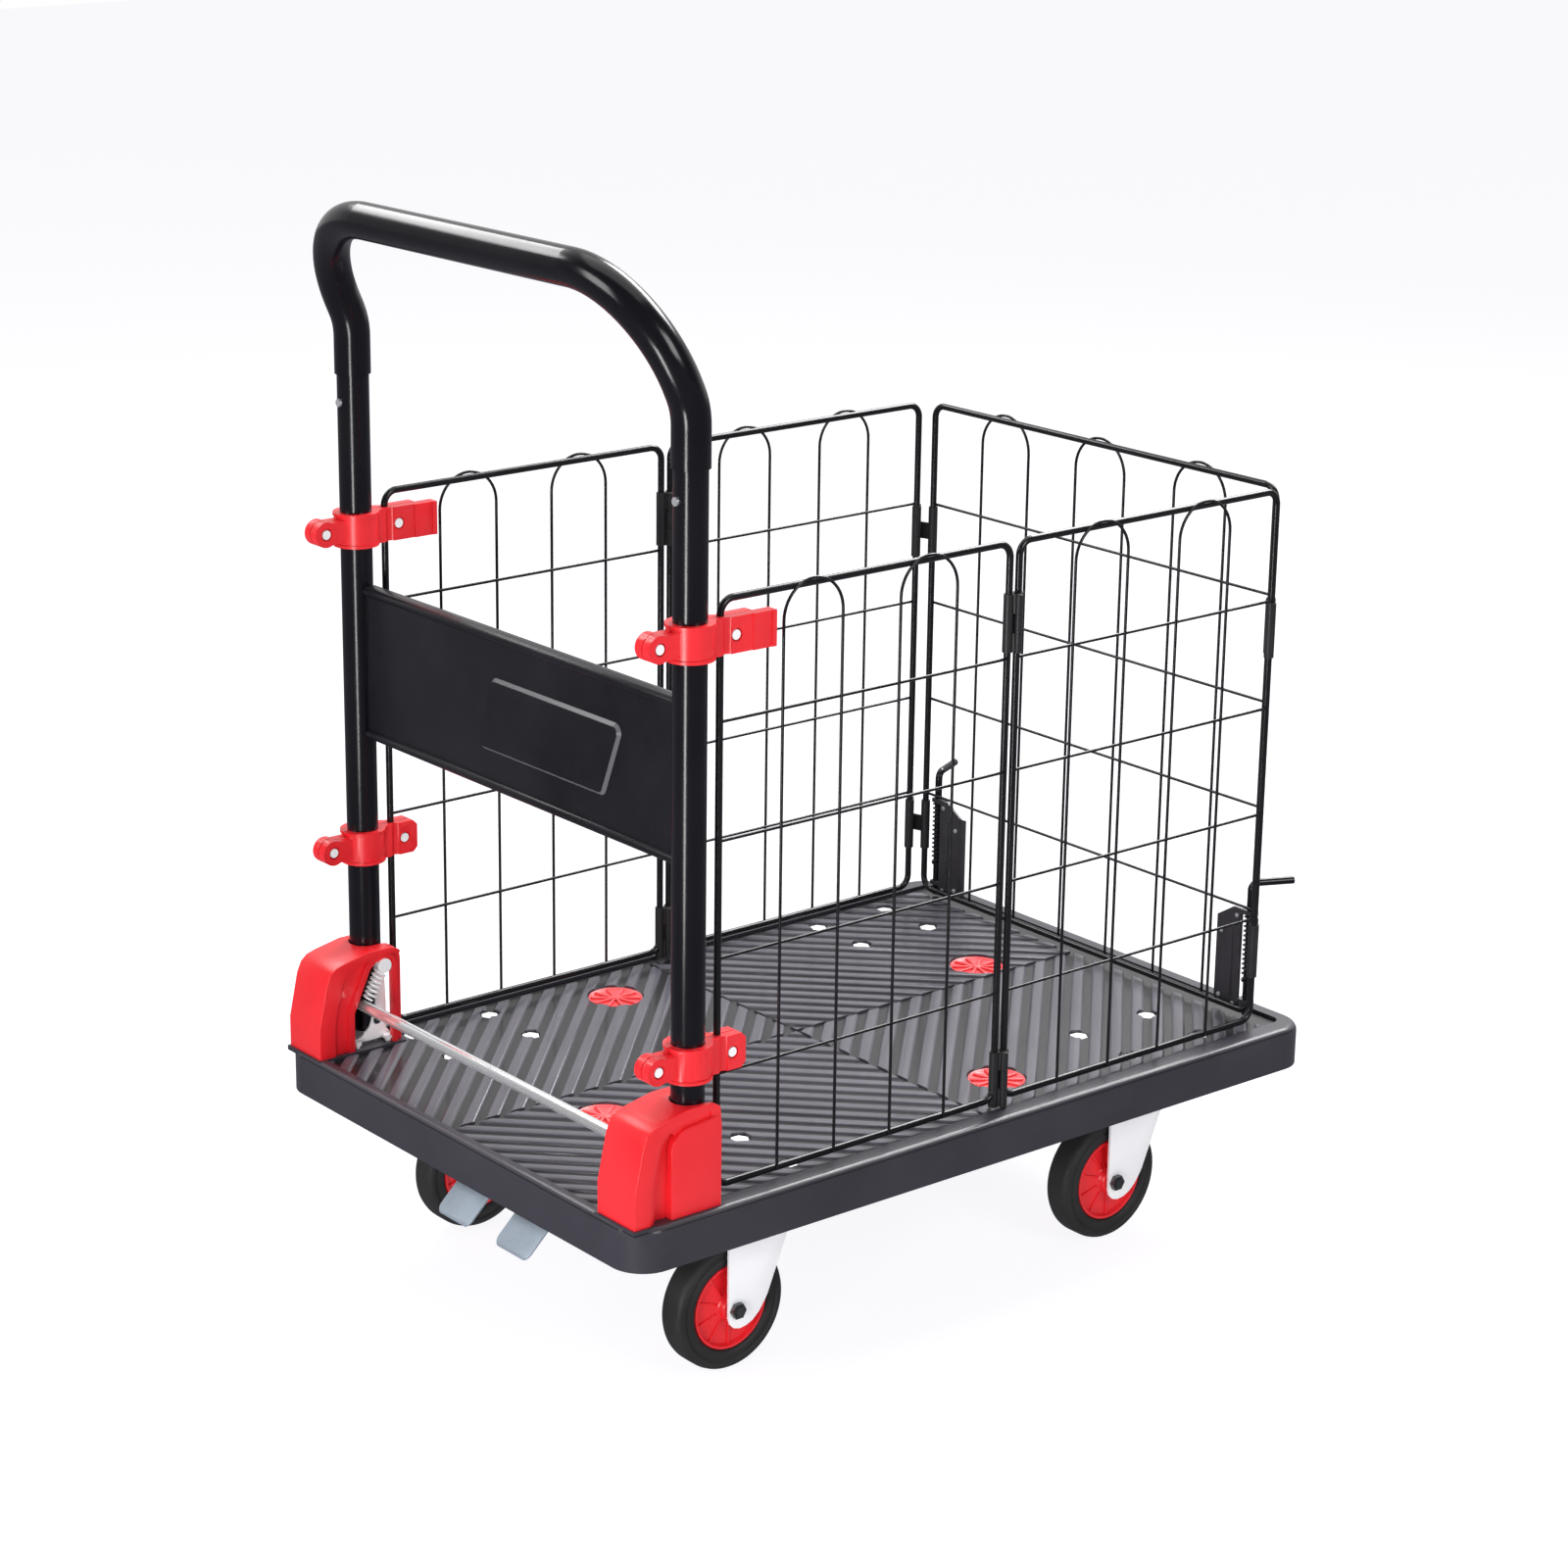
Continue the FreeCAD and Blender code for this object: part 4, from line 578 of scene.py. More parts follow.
def rib_field(name, low, high, lean):
    """Parallel ribs over a rectangle, leaning one way or the other."""
    middle = ((low[0] + high[0]) / 2, (low[1] + high[1]) / 2)
    reach = math.hypot(high[0] - low[0], high[1] - low[1])
    count = int(reach / RIB_PITCH) + 1
    first = -count * RIB_PITCH / 2
    bar = block(name, (-reach / 2, first, field_top - 0.2 * MM),
                (reach / 2, first + RIB_WIDTH, field_top + RIB_HEIGHT))
    pick(bar, "FACE", lambda centre, normal: normal.z > 0.9)
    bpy.ops.transform.resize(value=(1, RIB_TAPER, 1))
    bpy.ops.object.mode_set(mode="OBJECT")
    round_edges(bar, 1.2 * MM, 2, lambda a, b: min(a.z, b.z) > field_top + MM and abs(a.y - b.y) < 1e-6)
    apply_modifier(bar, "ARRAY", count=count, use_relative_offset=False, use_constant_offset=True,
                   constant_offset_displace=(0, RIB_PITCH, 0))
    edit_all()
    bpy.ops.transform.rotate(value=math.radians(45 * lean), orient_axis="Z", center_override=(0, 0, 0))
    bpy.ops.transform.translate(value=(middle[0], middle[1], 0))
    for place, normal in (((low[0], 0, 0), (-1, 0, 0)), ((high[0], 0, 0), (1, 0, 0)),
                          ((0, low[1], 0), (0, -1, 0)), ((0, high[1], 0), (0, 1, 0))):
        bpy.ops.mesh.select_all(action="SELECT")
        bpy.ops.mesh.bisect(plane_co=place, plane_no=normal, clear_outer=True, use_fill=True)
    bpy.ops.object.mode_set(mode="OBJECT")
    return bar


# %% Four fields, with the pockets cut out
near_x, split_x, far_x = deck_low.x + 12 * MM, 5 * MM, deck_high.x - 45 * MM
right_y, split_y, left_y = deck_low.y + 28 * MM, 12 * MM, deck_high.y - 33 * MM
GAP = 2 * MM
fields = [
    rib_field("ribs_near_right", (near_x, right_y), (split_x - GAP, split_y - GAP), 1),
    rib_field("ribs_near_left", (near_x, split_y + GAP), (split_x - GAP, left_y), -1),
    rib_field("ribs_far_left", (split_x + GAP, split_y + GAP), (far_x, left_y), 1),
    rib_field("ribs_far_right", (split_x + GAP, right_y), (far_x, split_y - GAP), -1),
]
ribs = joined("deck_ribs", fields)
print("ribs:", len(ribs.data.polygons), "faces")


def islands(node, reach):
    """The middles of a CAD node's separate solids: vertices gathered while they lie near a middle."""
    middles = []
    for vertex in frame["nodes"][node].data.vertices:
        flat = Vector((vertex.co.x, vertex.co.y))
        near = [m for m in middles if (m[0] / m[1] - flat).length < reach]
        if near:
            near[0][0] += flat
            near[0][1] += 1
        else:
            middles.append([flat.copy(), 1])
    return [m[0] / m[1] for m in middles]


bolt_places = islands("caster_bolts", 0.020)
plug_places = islands("deck_plugs", 0.060)
print("bolts:", len(bolt_places), "plugs:", len(plug_places))

# %% Pockets, seats and holes in the ribs
def clear_rod(name, x, y, radius, sides=32):
    """An upright cutter that passes through the ribs."""
    return rod(name, radius * MM, (x, y, CUT_LOW), (x, y, CUT_HIGH), sides)


cutters = [clear_rod(f"cut_bolt_{i}", p.x, p.y, 12.2, 6) for i, p in enumerate(bolt_places)]
cutters += [clear_rod(f"cut_plug_{i}", p.x, p.y, 30.5, 48) for i, p in enumerate(plug_places)]
hinge_x = middle_of("mid_hinge_left_front").x
for side in ("right", "left"):
    low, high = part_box(f"foot_cover_{side}")
    cutters.append(block(f"cut_foot_{side}", (low.x - 2 * MM, low.y - 2 * MM, CUT_LOW),
                         (high.x + 2 * MM, high.y + 2 * MM, CUT_HIGH)))
for side, peg_y in (("left", 260.5 * MM), ("right", -276.5 * MM)):
    cutters.append(clear_rod(f"cut_peg_{side}", hinge_x, peg_y, 8))
carve(ribs, joined("rib_cutters", cutters))
soften(ribs, 0.3 * MM, 1)
fit(ribs, "chassis", "rib_plastic", slot="deck_plastic")

# %% [markdown]
# ## Plugs in the deck
# Four round plastic plugs close the holes where the deck is screwed together. Each has a raised
# rim and ten spokes. A cylinder whose top is inset and pushed down gives the dish, and one spoke
# is turned round the middle and joined.

# %% A spoked plug
plug_low, plug_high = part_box("deck_plugs")
plug_top = plug_high.z
PLUG_RADIUS, RIM_WIDTH, DISH_DEPTH, SPOKES = 29 * MM, 3.4 * MM, 2.6 * MM, 10


def spoked_plug(name, place):
    """A dish with a rim, a middle boss and ten spokes."""
    dish = rod(name, PLUG_RADIUS, (place.x, place.y, plug_low.z), (place.x, place.y, plug_top), 48)
    pick(dish, "FACE", lambda centre, normal: normal.z > 0.9)
    bpy.ops.mesh.inset(thickness=RIM_WIDTH, depth=0)
    bpy.ops.transform.translate(value=(0, 0, -DISH_DEPTH))
    bpy.ops.object.mode_set(mode="OBJECT")
    soften(dish, 0.5 * MM, 2)
    floor_z = plug_top - DISH_DEPTH - 0.4 * MM
    boss = rod(name + "_boss", 6 * MM, (place.x, place.y, floor_z),
               (place.x, place.y, plug_top + 0.3 * MM), 24)
    soften(boss, 0.8 * MM, 2)
    spoke = block(name + "_spoke", (place.x + 4 * MM, place.y - 1.6 * MM, floor_z),
                  (place.x + PLUG_RADIUS - 2 * MM, place.y + 1.6 * MM, plug_top - 0.2 * MM))
    soften(spoke, 0.7 * MM, 2)
    spokes = [copied(spoke, f"{name}_spoke_{i}", turn=i * math.tau / SPOKES, centre=(place.x, place.y, 0))
              for i in range(1, SPOKES)]
    return joined(name, [dish, boss, spoke] + spokes)


plugs = joined("spoked_plugs", [spoked_plug(f"plug_{i}", p) for i, p in enumerate(plug_places)])
fit(plugs, "chassis", "pale_red_plastic", "deck_plugs", slot="red_plastic")

# %% [markdown]
# ## Red covers over the feet
# Each foot of the handle hides in a moulded cover: a band that climbs the back and runs over the
# top, a recessed wall on each side, a raised shield on the outer side behind a deep groove, and
# an arched opening with a lip on the inner side. The outlines are drawn from the side, extruded
# across, joined with booleans, and hollowed. The left cover is the right one mirrored.

# %% Outlines of the cover
foot_low, foot_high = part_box("foot_cover_right")
out_y, in_y = foot_low.y, foot_high.y
FRONT = (foot_high.x - foot_low.x) / MM
TOP = (foot_high.z - foot_low.z) / MM


def foot_outline(*points):
    """A side view, in millimetres ahead of the cover's back and above its base."""
    return [(foot_low.x + ahead * MM, foot_low.z + up * MM) for ahead, up in points]


shell_outline = foot_outline(
    (0, 0), (0, TOP - 72), (10, TOP - 26), (15, TOP - 15), (22, TOP - 9), (32, TOP - 6), (62, TOP),
    (FRONT - 15, TOP), (FRONT - 9, TOP - 1), (FRONT - 3.5, TOP - 4.5), (FRONT - 0.8, TOP - 9.5),
    (FRONT, TOP - 16), (FRONT, 0))
recess_outline = foot_outline(
    (19, -1), (19, TOP - 70), (29, TOP - 28), (36, TOP - 17), (64, TOP - 9),
    (FRONT - 17, TOP - 6.5), (FRONT - 9, TOP - 7.2), (FRONT + 1, TOP - 7.5), (FRONT + 1, -1))
groove_outline = foot_outline(
    (24, -1), (24, TOP - 68), (33, TOP - 30), (37, TOP - 24), (43, TOP - 19), (52, TOP - 24),
    (44, TOP - 34), (44, -1))
top_groove_outline = foot_outline(
    (41, TOP - 20), (49, TOP - 15), (70, TOP - 11), (FRONT - 12, TOP - 8.5), (FRONT - 10, TOP - 15),
    (60, TOP - 19), (50, TOP - 24))
shield_outline = foot_outline(
    (43, 0), (43, TOP - 36), (45, TOP - 28), (51, TOP - 22), (60, TOP - 18), (FRONT - 8, TOP - 14),
    (FRONT - 2, TOP - 16), (FRONT, TOP - 22), (FRONT, 0))
room_outline = foot_outline(
    (40.5, -1), (40.5, TOP - 10), (62, TOP - 5), (FRONT + 1, TOP - 5), (FRONT + 1, -1))
back_room_outline = foot_outline(
    (5, -1), (5, TOP - 72), (15, TOP - 26), (25, TOP - 14), (42, TOP - 9), (42, -1))
lip_outline = foot_outline(
    (36, 0), (36, 43), (58, 90), (66, 97), (78, 100), (90, 96), (96, 86), (96, 0))
mouth_outline = foot_outline(
    (43, -1), (43, 41), (63, 85), (70, 91), (79, 93), (86, 90), (90, 83), (90, -1))
print("cover", round(FRONT), "mm long,", round(TOP), "mm high")

# %% The outside of the cover
BAND_END = foot_low.x + 63 * MM
cover = slab("foot_cover_right_shell", shell_outline, out_y, in_y)
round_edges(cover, 6 * MM, 4, lambda a, b: abs(a.y - b.y) < 1e-6 and min(a.x, b.x) < BAND_END
            and max(a.z, b.z) > foot_low.z + MM)
carve(cover,
      slab("cover_outer_recess", recess_outline, out_y - MM, out_y + 2.4 * MM),
      slab("cover_inner_recess", recess_outline, in_y - 4 * MM, in_y + MM),
      slab("cover_groove", groove_outline, out_y - MM, out_y + 8.5 * MM),
      slab("cover_top_groove", top_groove_outline, out_y - MM, out_y + 4.6 * MM))
shield = slab("cover_shield", shield_outline, out_y + 0.2 * MM, out_y + 9 * MM)
round_edges(shield, 2 * MM, 3, lambda a, b: max(a.y, b.y) < out_y + 0.3 * MM
            and max(a.z, b.z) > foot_low.z + MM)
lip = slab("cover_lip", lip_outline, in_y - 6 * MM, in_y - 0.4 * MM)
carve(cover, shield, lip, how="UNION")
print("outside:", len(cover.data.polygons), "faces")

# %% The rooms, the arch and the post's hole
post_place = middle_of("post_right")
HOLE = 17.6 * MM
above = foot_high.z + 5 * MM
post_hole = rod("cover_post_hole", HOLE, (post_place.x, post_place.y, foot_high.z - 30 * MM),
                (post_place.x, post_place.y, above), 48)
front_slot = block("cover_front_slot", (post_place.x, post_place.y - HOLE, foot_low.z + 23 * MM),
                   (foot_high.x + 2 * MM, post_place.y + HOLE, above))
carve(cover,
      slab("cover_room", room_outline, out_y + 10 * MM, in_y - 7 * MM),
      slab("cover_back_room", back_room_outline, out_y + 12 * MM, in_y - 8 * MM),
      slab("cover_mouth", mouth_outline, in_y - 12 * MM, in_y + 2 * MM),
      post_hole, front_slot)
soften(cover, 1.4 * MM, 3, 28)
left_cover = copied(cover, "foot_cover_left_shell", mirror=True)
fit(cover, "chassis", "red_plastic", "foot_cover_right")
fit(left_cover, "chassis", "red_plastic", "foot_cover_left")

# %% [markdown]
# ## Red clamps on the posts
# Four clamps of two half shells tie the cage's front wires to the posts. Each half has a band
# round the post, a lug at the back for one screw, a channel where the cage wire passes, and a
# thick plate with a sunk screw. The upper clamps reach further and end in a lip. One half is
# drawn from blocks and cylinders with booleans, and the other is made the same way on the far
# side of the split, so one function makes both.

# %% Where the clamps sit
post_x, post_y = post_place.x, post_place.y
wire_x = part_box("side_front_right")[0].x + 3.5 * MM
clamp_low, clamp_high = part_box("clamp_upper_right")
LUG_X, SCREW_X = clamp_low.x + 13 * MM, wire_x + 11 * MM
BAND_RADIUS, RIM_RADIUS, RIM_HEIGHT = 22 * MM, 23.2 * MM, 3 * MM
SPLIT, FACE = 0.5, 10.4
clamp_half_height = (clamp_high.z - clamp_low.z) / 2
print("clamp height", round(2 * clamp_half_height, 4), "post at", round(post_x, 4), round(post_y, 4))

# %% Half a clamp
def clamp_half(name, out, mid, end, lipped):
    """Half a clamp. out is -1 or 1, away from the split, and end is where its plate stops."""
    low, high = mid - clamp_half_height, mid + clamp_half_height
    below, above = low - 10 * MM, high + 10 * MM

    def across(away):
        """How far across a point lies that is so many millimetres from the split."""
        return post_y + out * away * MM

    def upright(part, radius, x, y, sides):
        """A cutter that runs past the clamp above and below."""
        return rod(f"{name}_{part}", radius, (x, y, below), (x, y, above), sides)

    band = rod(name, BAND_RADIUS, (post_x, post_y, low), (post_x, post_y, high), 64)
    round_edges(band, 1.8 * MM, 2, lambda a, b: abs(a.z - b.z) < 1e-6)
    for rim_low in (low, high - RIM_HEIGHT):
        rim = rod(name + "_rim", RIM_RADIUS, (post_x, post_y, rim_low),
                  (post_x, post_y, rim_low + RIM_HEIGHT), 64)
        carve(band, rim, how="UNION")
    carve(band, block(name + "_far", (post_x - 50 * MM, across(SPLIT), below),
                      (post_x + 50 * MM, across(-60), above)))
    plate_low = min(across(SPLIT), across(FACE))
    plate = block(name + "_plate", (post_x + 12 * MM, plate_low, low), (end, plate_low + 9.9 * MM, high))
    if lipped:
        step = block(name + "_step", (SCREW_X + 18 * MM, across(0.6), low), (end, across(12), high))
        edge = block(name + "_edge", (end - 5 * MM, across(0.7), low), (end, across(13), high))
        carve(plate, step, edge, how="UNION")
    else:
        round_edges(plate, 5 * MM, 1, lambda a, b: abs(a.z - b.z) < 1e-6 and min(a.x, b.x) > end - 1e-4)
    lug = rod(name + "_lug", 13 * MM, (LUG_X, across(SPLIT), mid), (LUG_X, across(FACE), mid), 40)
    neck = block(name + "_neck", (LUG_X, across(SPLIT), mid - 11 * MM),
                 (post_x - 10 * MM, across(FACE), mid + 11 * MM))
    carve(band, plate, lug, neck, how="UNION")
    carve(band, upright("channel", 5.5 * MM, wire_x, across(12.6), 24),
          upright("bore", 16.15 * MM, post_x, post_y, 64),
          upright("wire", 3.6 * MM, wire_x, post_y, 24))
    for x in (LUG_X, SCREW_X):
        sink = rod(name + "_sink", 6.2 * MM, (x, across(7.0), mid), (x, across(20), mid), 32)
        hole = rod(name + "_hole", 2.65 * MM, (x, across(-1), mid), (x, across(20), mid), 16)
        carve(band, sink, hole)
    return soften(band, 0.7 * MM, 2, 30)


def clamp(level, lipped, near_end, far_end):
    """Both halves of the right clamp at a level."""
    name, mid = f"clamp_{level}_right_shell", middle_of(f"clamp_{level}_right").z
    near = clamp_half(name, -1, mid, near_end, lipped)
    far = clamp_half(name + "_far_half", 1, mid, far_end, False)
    return joined(name, [near, far])


# %% Four clamps
low_clamp_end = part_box("clamp_lower_right")[1].x
patterns = {"upper": clamp("upper", True, clamp_high.x, clamp_high.x - 14 * MM),
            "lower": clamp("lower", False, low_clamp_end, low_clamp_end)}
for level, pattern in patterns.items():
    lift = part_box(f"clamp_{level}_left")[0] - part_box(f"clamp_{level}_right")[0]
    twin = copied(pattern, f"clamp_{level}_left_shell", move=lift)
    fit(twin, "chassis", "red_plastic", f"clamp_{level}_left")
    fit(pattern, "chassis", "red_plastic", f"clamp_{level}_right")

# %% [markdown]
# ## Wheels
# Each wheel is a rubber tyre on a red plastic hub. A round section is drawn once as a line of
# points and spun about the axle, which is how a lathe or a mould makes it. The tyre has a flat
# tread, a round shoulder and a ring step on its side wall. The hub is a dish with a bright rim,
# an axle boss and ten shallow ribs on each side.

# %% Spin a section
def spun(name, section, centre, steps=72):
    """A ring of (across, radius) points in millimetres, spun about an axle along Y."""
    bpy.ops.mesh.primitive_circle_add(vertices=len(section), radius=0.01, location=(0, 0, 0))
    obj = started(name)
    for vertex, (across, radius) in zip(obj.data.vertices, section):
        vertex.co = (centre[0], centre[1] + across * MM, centre[2] + radius * MM)
    edit_all()
    bpy.ops.mesh.spin(steps=steps, angle=math.tau, center=centre, axis=(0, 1, 0))
    bpy.ops.mesh.select_all(action="SELECT")
    bpy.ops.mesh.remove_doubles(threshold=0.01 * MM)
    close_up()
    bpy.ops.object.shade_smooth_by_angle(angle=math.radians(38))
    return obj


def both_sides(half):
    """A half section from the middle out, closed by its mirror image."""
    return half + [(-across, radius) for across, radius in reversed(half)]


TYRE_SECTION = both_sides([(0, 65), (5, 65), (9, 64.9), (11.4, 64.3), (13.4, 63), (14.8, 61), (15.5, 58.6),
                           (15.7, 57), (14.9, 56.3), (14.4, 55.4), (14.6, 53.4), (15.3, 52.4), (15.9, 50.8),
                           (16, 48.6), (15.4, 46.6), (14, 45.2), (12.5, 44.3), (0, 44.3)])
HUB_SECTION = both_sides([(0, 44), (12.2, 44), (13.4, 43.4), (13.8, 42.2), (13.4, 40.8), (11.6, 39.8),
                          (9.6, 38.6), (9.2, 37), (9.6, 17), (11, 14.6), (14, 13), (17, 12.4), (18, 11.4),
                          (18, 5.08), (0, 5.08)])
first_wheel = middle_of("swivel_tyre_right")
tyre = spun("tyre_pattern", TYRE_SECTION, first_wheel, 96)
hub = spun("hub_pattern", HUB_SECTION, first_wheel, 64)

# %% Ribs of the hub
HUB_RIBS = 10
hub_ribs = []
for out in (-1, 1):
    low = first_wheel + Vector((-1.3, out * 8.8, 13)) * MM
    high = first_wheel + Vector((1.3, out * 10.8, 39.6)) * MM
    rib = soften(block("hub_rib", low, high), 0.6 * MM, 2)
    hub_ribs += [rib] + [copied(rib, "hub_rib", turn=i * math.tau / HUB_RIBS, axis="Y", centre=first_wheel)
                         for i in range(1, HUB_RIBS)]
hub = joined("hub_pattern", [hub] + hub_ribs)

# %% Four wheels
for kind, body in (("swivel", "front_wheel"), ("rigid", "rear_wheel")):
    for side in ("left", "right"):
        move = middle_of(f"{kind}_tyre_{side}") - first_wheel
        fit(copied(tyre, f"{kind}_tyre_{side}_ring", move=move),
            f"{body}_{side}", "tyre", f"{kind}_tyre_{side}")
        fit(copied(hub, f"{kind}_hub_{side}_disc", move=move),
            f"{body}_{side}", "red_plastic", f"{kind}_hub_{side}")
for pattern in (tyre, hub):
    bpy.data.objects.remove(pattern)

# %% [markdown]
# ## The panel between the posts
# It is one folded sheet: a flat web with a rolled lip along the top and bottom, and a raised
# parallelogram pressed into the middle to stiffen it. The web, the lips and the flanges start as
# primitives, and the raised part as an outline whose outer edge is bevelled into a slope. They are
# joined last. The slope is painted paler than the rest, a painted highlight where it catches the light,
# so the raised part reads from afar.

# %% A raised outline with round corners
def rounded(corners, radius, steps=5):
    """An outline whose corners are replaced by short arcs."""
    points = []
    count = len(corners)
    for i, here in enumerate(corners):
        here = Vector(here)
        back = (Vector(corners[i - 1]) - here).normalized()
        ahead = (Vector(corners[(i + 1) % count]) - here).normalized()
        half = back.angle(ahead) / 2
        centre = here + (back + ahead).normalized() * radius / math.sin(half)
        start = here + back * radius / math.tan(half)
        end = here + ahead * radius / math.tan(half)
        for step in range(steps + 1):
            mix = step / steps
            spoke = (start * (1 - mix) + end * mix - centre).normalized()
            points.append(tuple(centre + spoke * radius))
    return points


# %% The panel
panel_low, panel_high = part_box("handle_plate")
web_back, web_front = panel_low.x, panel_low.x + 2 * MM
LIP, FLANGE, RISE, SLOPE = 5 * MM, 2 * MM, 3.6 * MM, 3.4 * MM
RAISED_LOW, RAISED_HIGH = 578 * MM, 653 * MM
panel = block("panel_sheet", (web_back, panel_low.y, panel_low.z + FLANGE),
              (web_front, panel_high.y, panel_high.z - FLANGE))
corners = [(33 * MM, RAISED_HIGH), (-174 * MM, RAISED_HIGH), (-144 * MM, RAISED_LOW), (60 * MM, RAISED_LOW)]
raised = slab("panel_raised", rounded(corners, 9 * MM), web_back + 0.5 * MM, web_back - RISE, across="x")
round_edges(raised, SLOPE, 1, lambda a, b: max(a.x, b.x) < web_back - RISE + 0.1 * MM)
lip_x = web_back + 1.6 * MM
lips = [rod(f"panel_lip_{i}", LIP, (lip_x, panel_low.y, z), (lip_x, panel_high.y, z), 24)
        for i, z in enumerate((panel_low.z + LIP, panel_high.z - LIP))]
flanges = [block(f"panel_flange_{i}", (web_back + 2.4 * MM, panel_low.y, z),
                 (panel_high.x, panel_high.y, z + FLANGE))
           for i, z in enumerate((panel_low.z, panel_high.z - FLANGE))]
for part in (panel, raised, *lips, *flanges):
    soften(part, 0.4 * MM, 2, 50)
panel = joined("handle_panel", [panel, raised, *lips, *flanges])
slope_height = (RAISED_HIGH - RAISED_LOW) / 2 + 4.5 * MM
# Painted highlight: a paler band on the raised part's slope.
tint_slices("panel_paint", [("X", web_back - RISE / 2, 1.5 * MM),
                            ("Z", (RAISED_LOW + RAISED_HIGH) / 2, slope_height)], (0.13, 0.13, 0.14))
fit(panel, "chassis", "panel_paint", "handle_plate", slot="black_paint")

# %% [markdown]
# ## Coil springs
# A spring is one small circle carried round and up an axis. The Screw modifier does just that, so
# the coil follows from four real numbers: mean radius, wire, pitch and turns. The open ends of
# the wire are filled after it is applied.

# %% One coil
def coil(name, mean, wire, start, end, turns, sides=8, steps=16):
    """A round-wire spring between two points."""
    a, b = Vector(start), Vector(end)
    length = (b - a).length
    bpy.ops.mesh.primitive_circle_add(vertices=sides, radius=wire, location=(mean, 0, wire),
                                      rotation=(math.radians(90), 0, 0))
    made = started(name)
    apply_modifier(made, "SCREW", axis="Z", angle=math.tau, steps=steps, render_steps=steps,
                   iterations=turns, screw_offset=(length - 2 * wire) / turns, use_merge_vertices=False)
    edit_all()
    bpy.ops.mesh.fill_holes(sides=sides)
    close_up()
    made.rotation_euler = (b - a).to_track_quat("Z", "Y").to_euler()
    made.location = a
    bpy.ops.object.transform_apply(location=True, rotation=True, scale=True)
    bpy.ops.object.shade_smooth_by_angle(angle=math.radians(60))
    return made


# %% Springs of the fold lock and of the drop bolts
lock_low, lock_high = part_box("lock_springs")
LEAN = Vector((0.4728, 0, 0.8812))
SPRING_END = 5.6 * MM
half_length = ((lock_high.z - lock_low.z) - 2 * SPRING_END * LEAN.x) / LEAN.z / 2
lock_middle = middle_of("lock_springs")
right_centre = Vector((lock_middle.x + 2 * MM, -lock_high.y + 7.4 * MM, lock_middle.z))
right_coil = coil("lock_coil_right", 6.4 * MM, 1.1 * MM, right_centre - LEAN * half_length,
                  right_centre + LEAN * half_length, 7)
fit(mirrored_pair("lock_coils", right_coil), "chassis", "bright_zinc", "lock_springs", slot="zinc")
for name in ("left", "right"):
    low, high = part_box(f"latch_spring_{name}")
    bolt = middle_of(f"latch_spring_{name}")
    spring = coil(f"bolt_coil_{name}", 5.4 * MM, 1.0 * MM, (bolt.x, bolt.y, low.z),
                  (bolt.x, bolt.y, high.z), 13)
    fit(spring, "cage_end", "black_wire", f"latch_spring_{name}", slot="black_paint")

# %% [markdown]
# ## Forks
# A caster's fork is pressed from plate: a crown under the race and two legs that narrow to a round
# toe at the axle. One leg is drawn from the side and extruded by the plate's thickness, copied to
# the other side of the wheel, and joined to the crown by a union, so that the fold between them
# can be rounded.

# %% One fork
LEG_IN, LEG_OUT, FORK_WALL = 19.5 * MM, 22.5 * MM, 3 * MM
LEG_BACK, LEG_FRONT = 9.5 * MM, 80 * MM
TOE = ((-9.5, -7), (-7.5, -14), (-3, -18.5), (4, -20.5), (12, -19.5), (20, -16), (28, -9), (35, 1), (38, 6),
       (70, 84))


def pressed_fork(name, hub, top):
    """Two legs and a crown over the wheel at hub."""
    near, far = hub.x - LEG_BACK, hub.x + LEG_FRONT
    toe = [(hub.x + ahead * MM, hub.z + up * MM) for ahead, up in TOE]
    outline = [(near, top)] + toe + [(far, top - 12 * MM), (far, top)]
    legs = [slab(f"{name}_leg_{i}", outline, hub.y + sign * LEG_IN, hub.y + sign * LEG_OUT)
            for i, sign in enumerate((-1, 1))]
    crown = block(f"{name}_crown", (near, hub.y - LEG_OUT, top - FORK_WALL), (far, hub.y + LEG_OUT, top))
    carve(crown, *legs, how="UNION")
    round_edges(crown, 2.4 * MM, 3, lambda a, b: min(a.z, b.z) > top - 0.1 * MM and abs(a.y - b.y) < 1e-5
                and abs(abs(a.y - hub.y) - LEG_OUT) < 1e-4)
    soften(crown, 0.7 * MM, 2, 40)
    crown.name = crown.data.name = name
    return crown


# %% Four forks
plate_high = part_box("rigid_forks")[1]
plate_base = plate_high.z - FORK_WALL
rigid_pair = []
for name in ("left", "right"):
    made = pressed_fork(f"pressed_fork_{name}", middle_of(f"swivel_hub_{name}"),
                        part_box(f"swivel_fork_{name}")[1].z)
    fit(made, f"caster_{name}", "bright_zinc", f"swivel_fork_{name}", slot="zinc")
    hub = middle_of(f"rigid_hub_{name}")
    fixed = pressed_fork(f"fixed_fork_{name}", hub, plate_base)
    plate = block(f"fixed_plate_{name}", (plate_high.x - 128 * MM, hub.y - 52 * MM, plate_base),
                  (plate_high.x, hub.y + 52 * MM, plate_high.z))
    round_edges(plate, 8 * MM, 4, lambda a, b: abs(a.z - b.z) > 1 * MM)
    rigid_pair += [fixed, plate]
fit(joined("fixed_forks", rigid_pair), "chassis", "bright_zinc", "rigid_forks", slot="zinc")

# %% [markdown]
# ## Brake pedals
# Two sheet pedals stick out under the handle end, one to press the brake on and one to let it
# off. Each is a bent strip drawn from the side, whose free corners are rounded in the plane of
# the sheet. They hang from one bar on a long rocker rod, so all of it is one piece that turns.

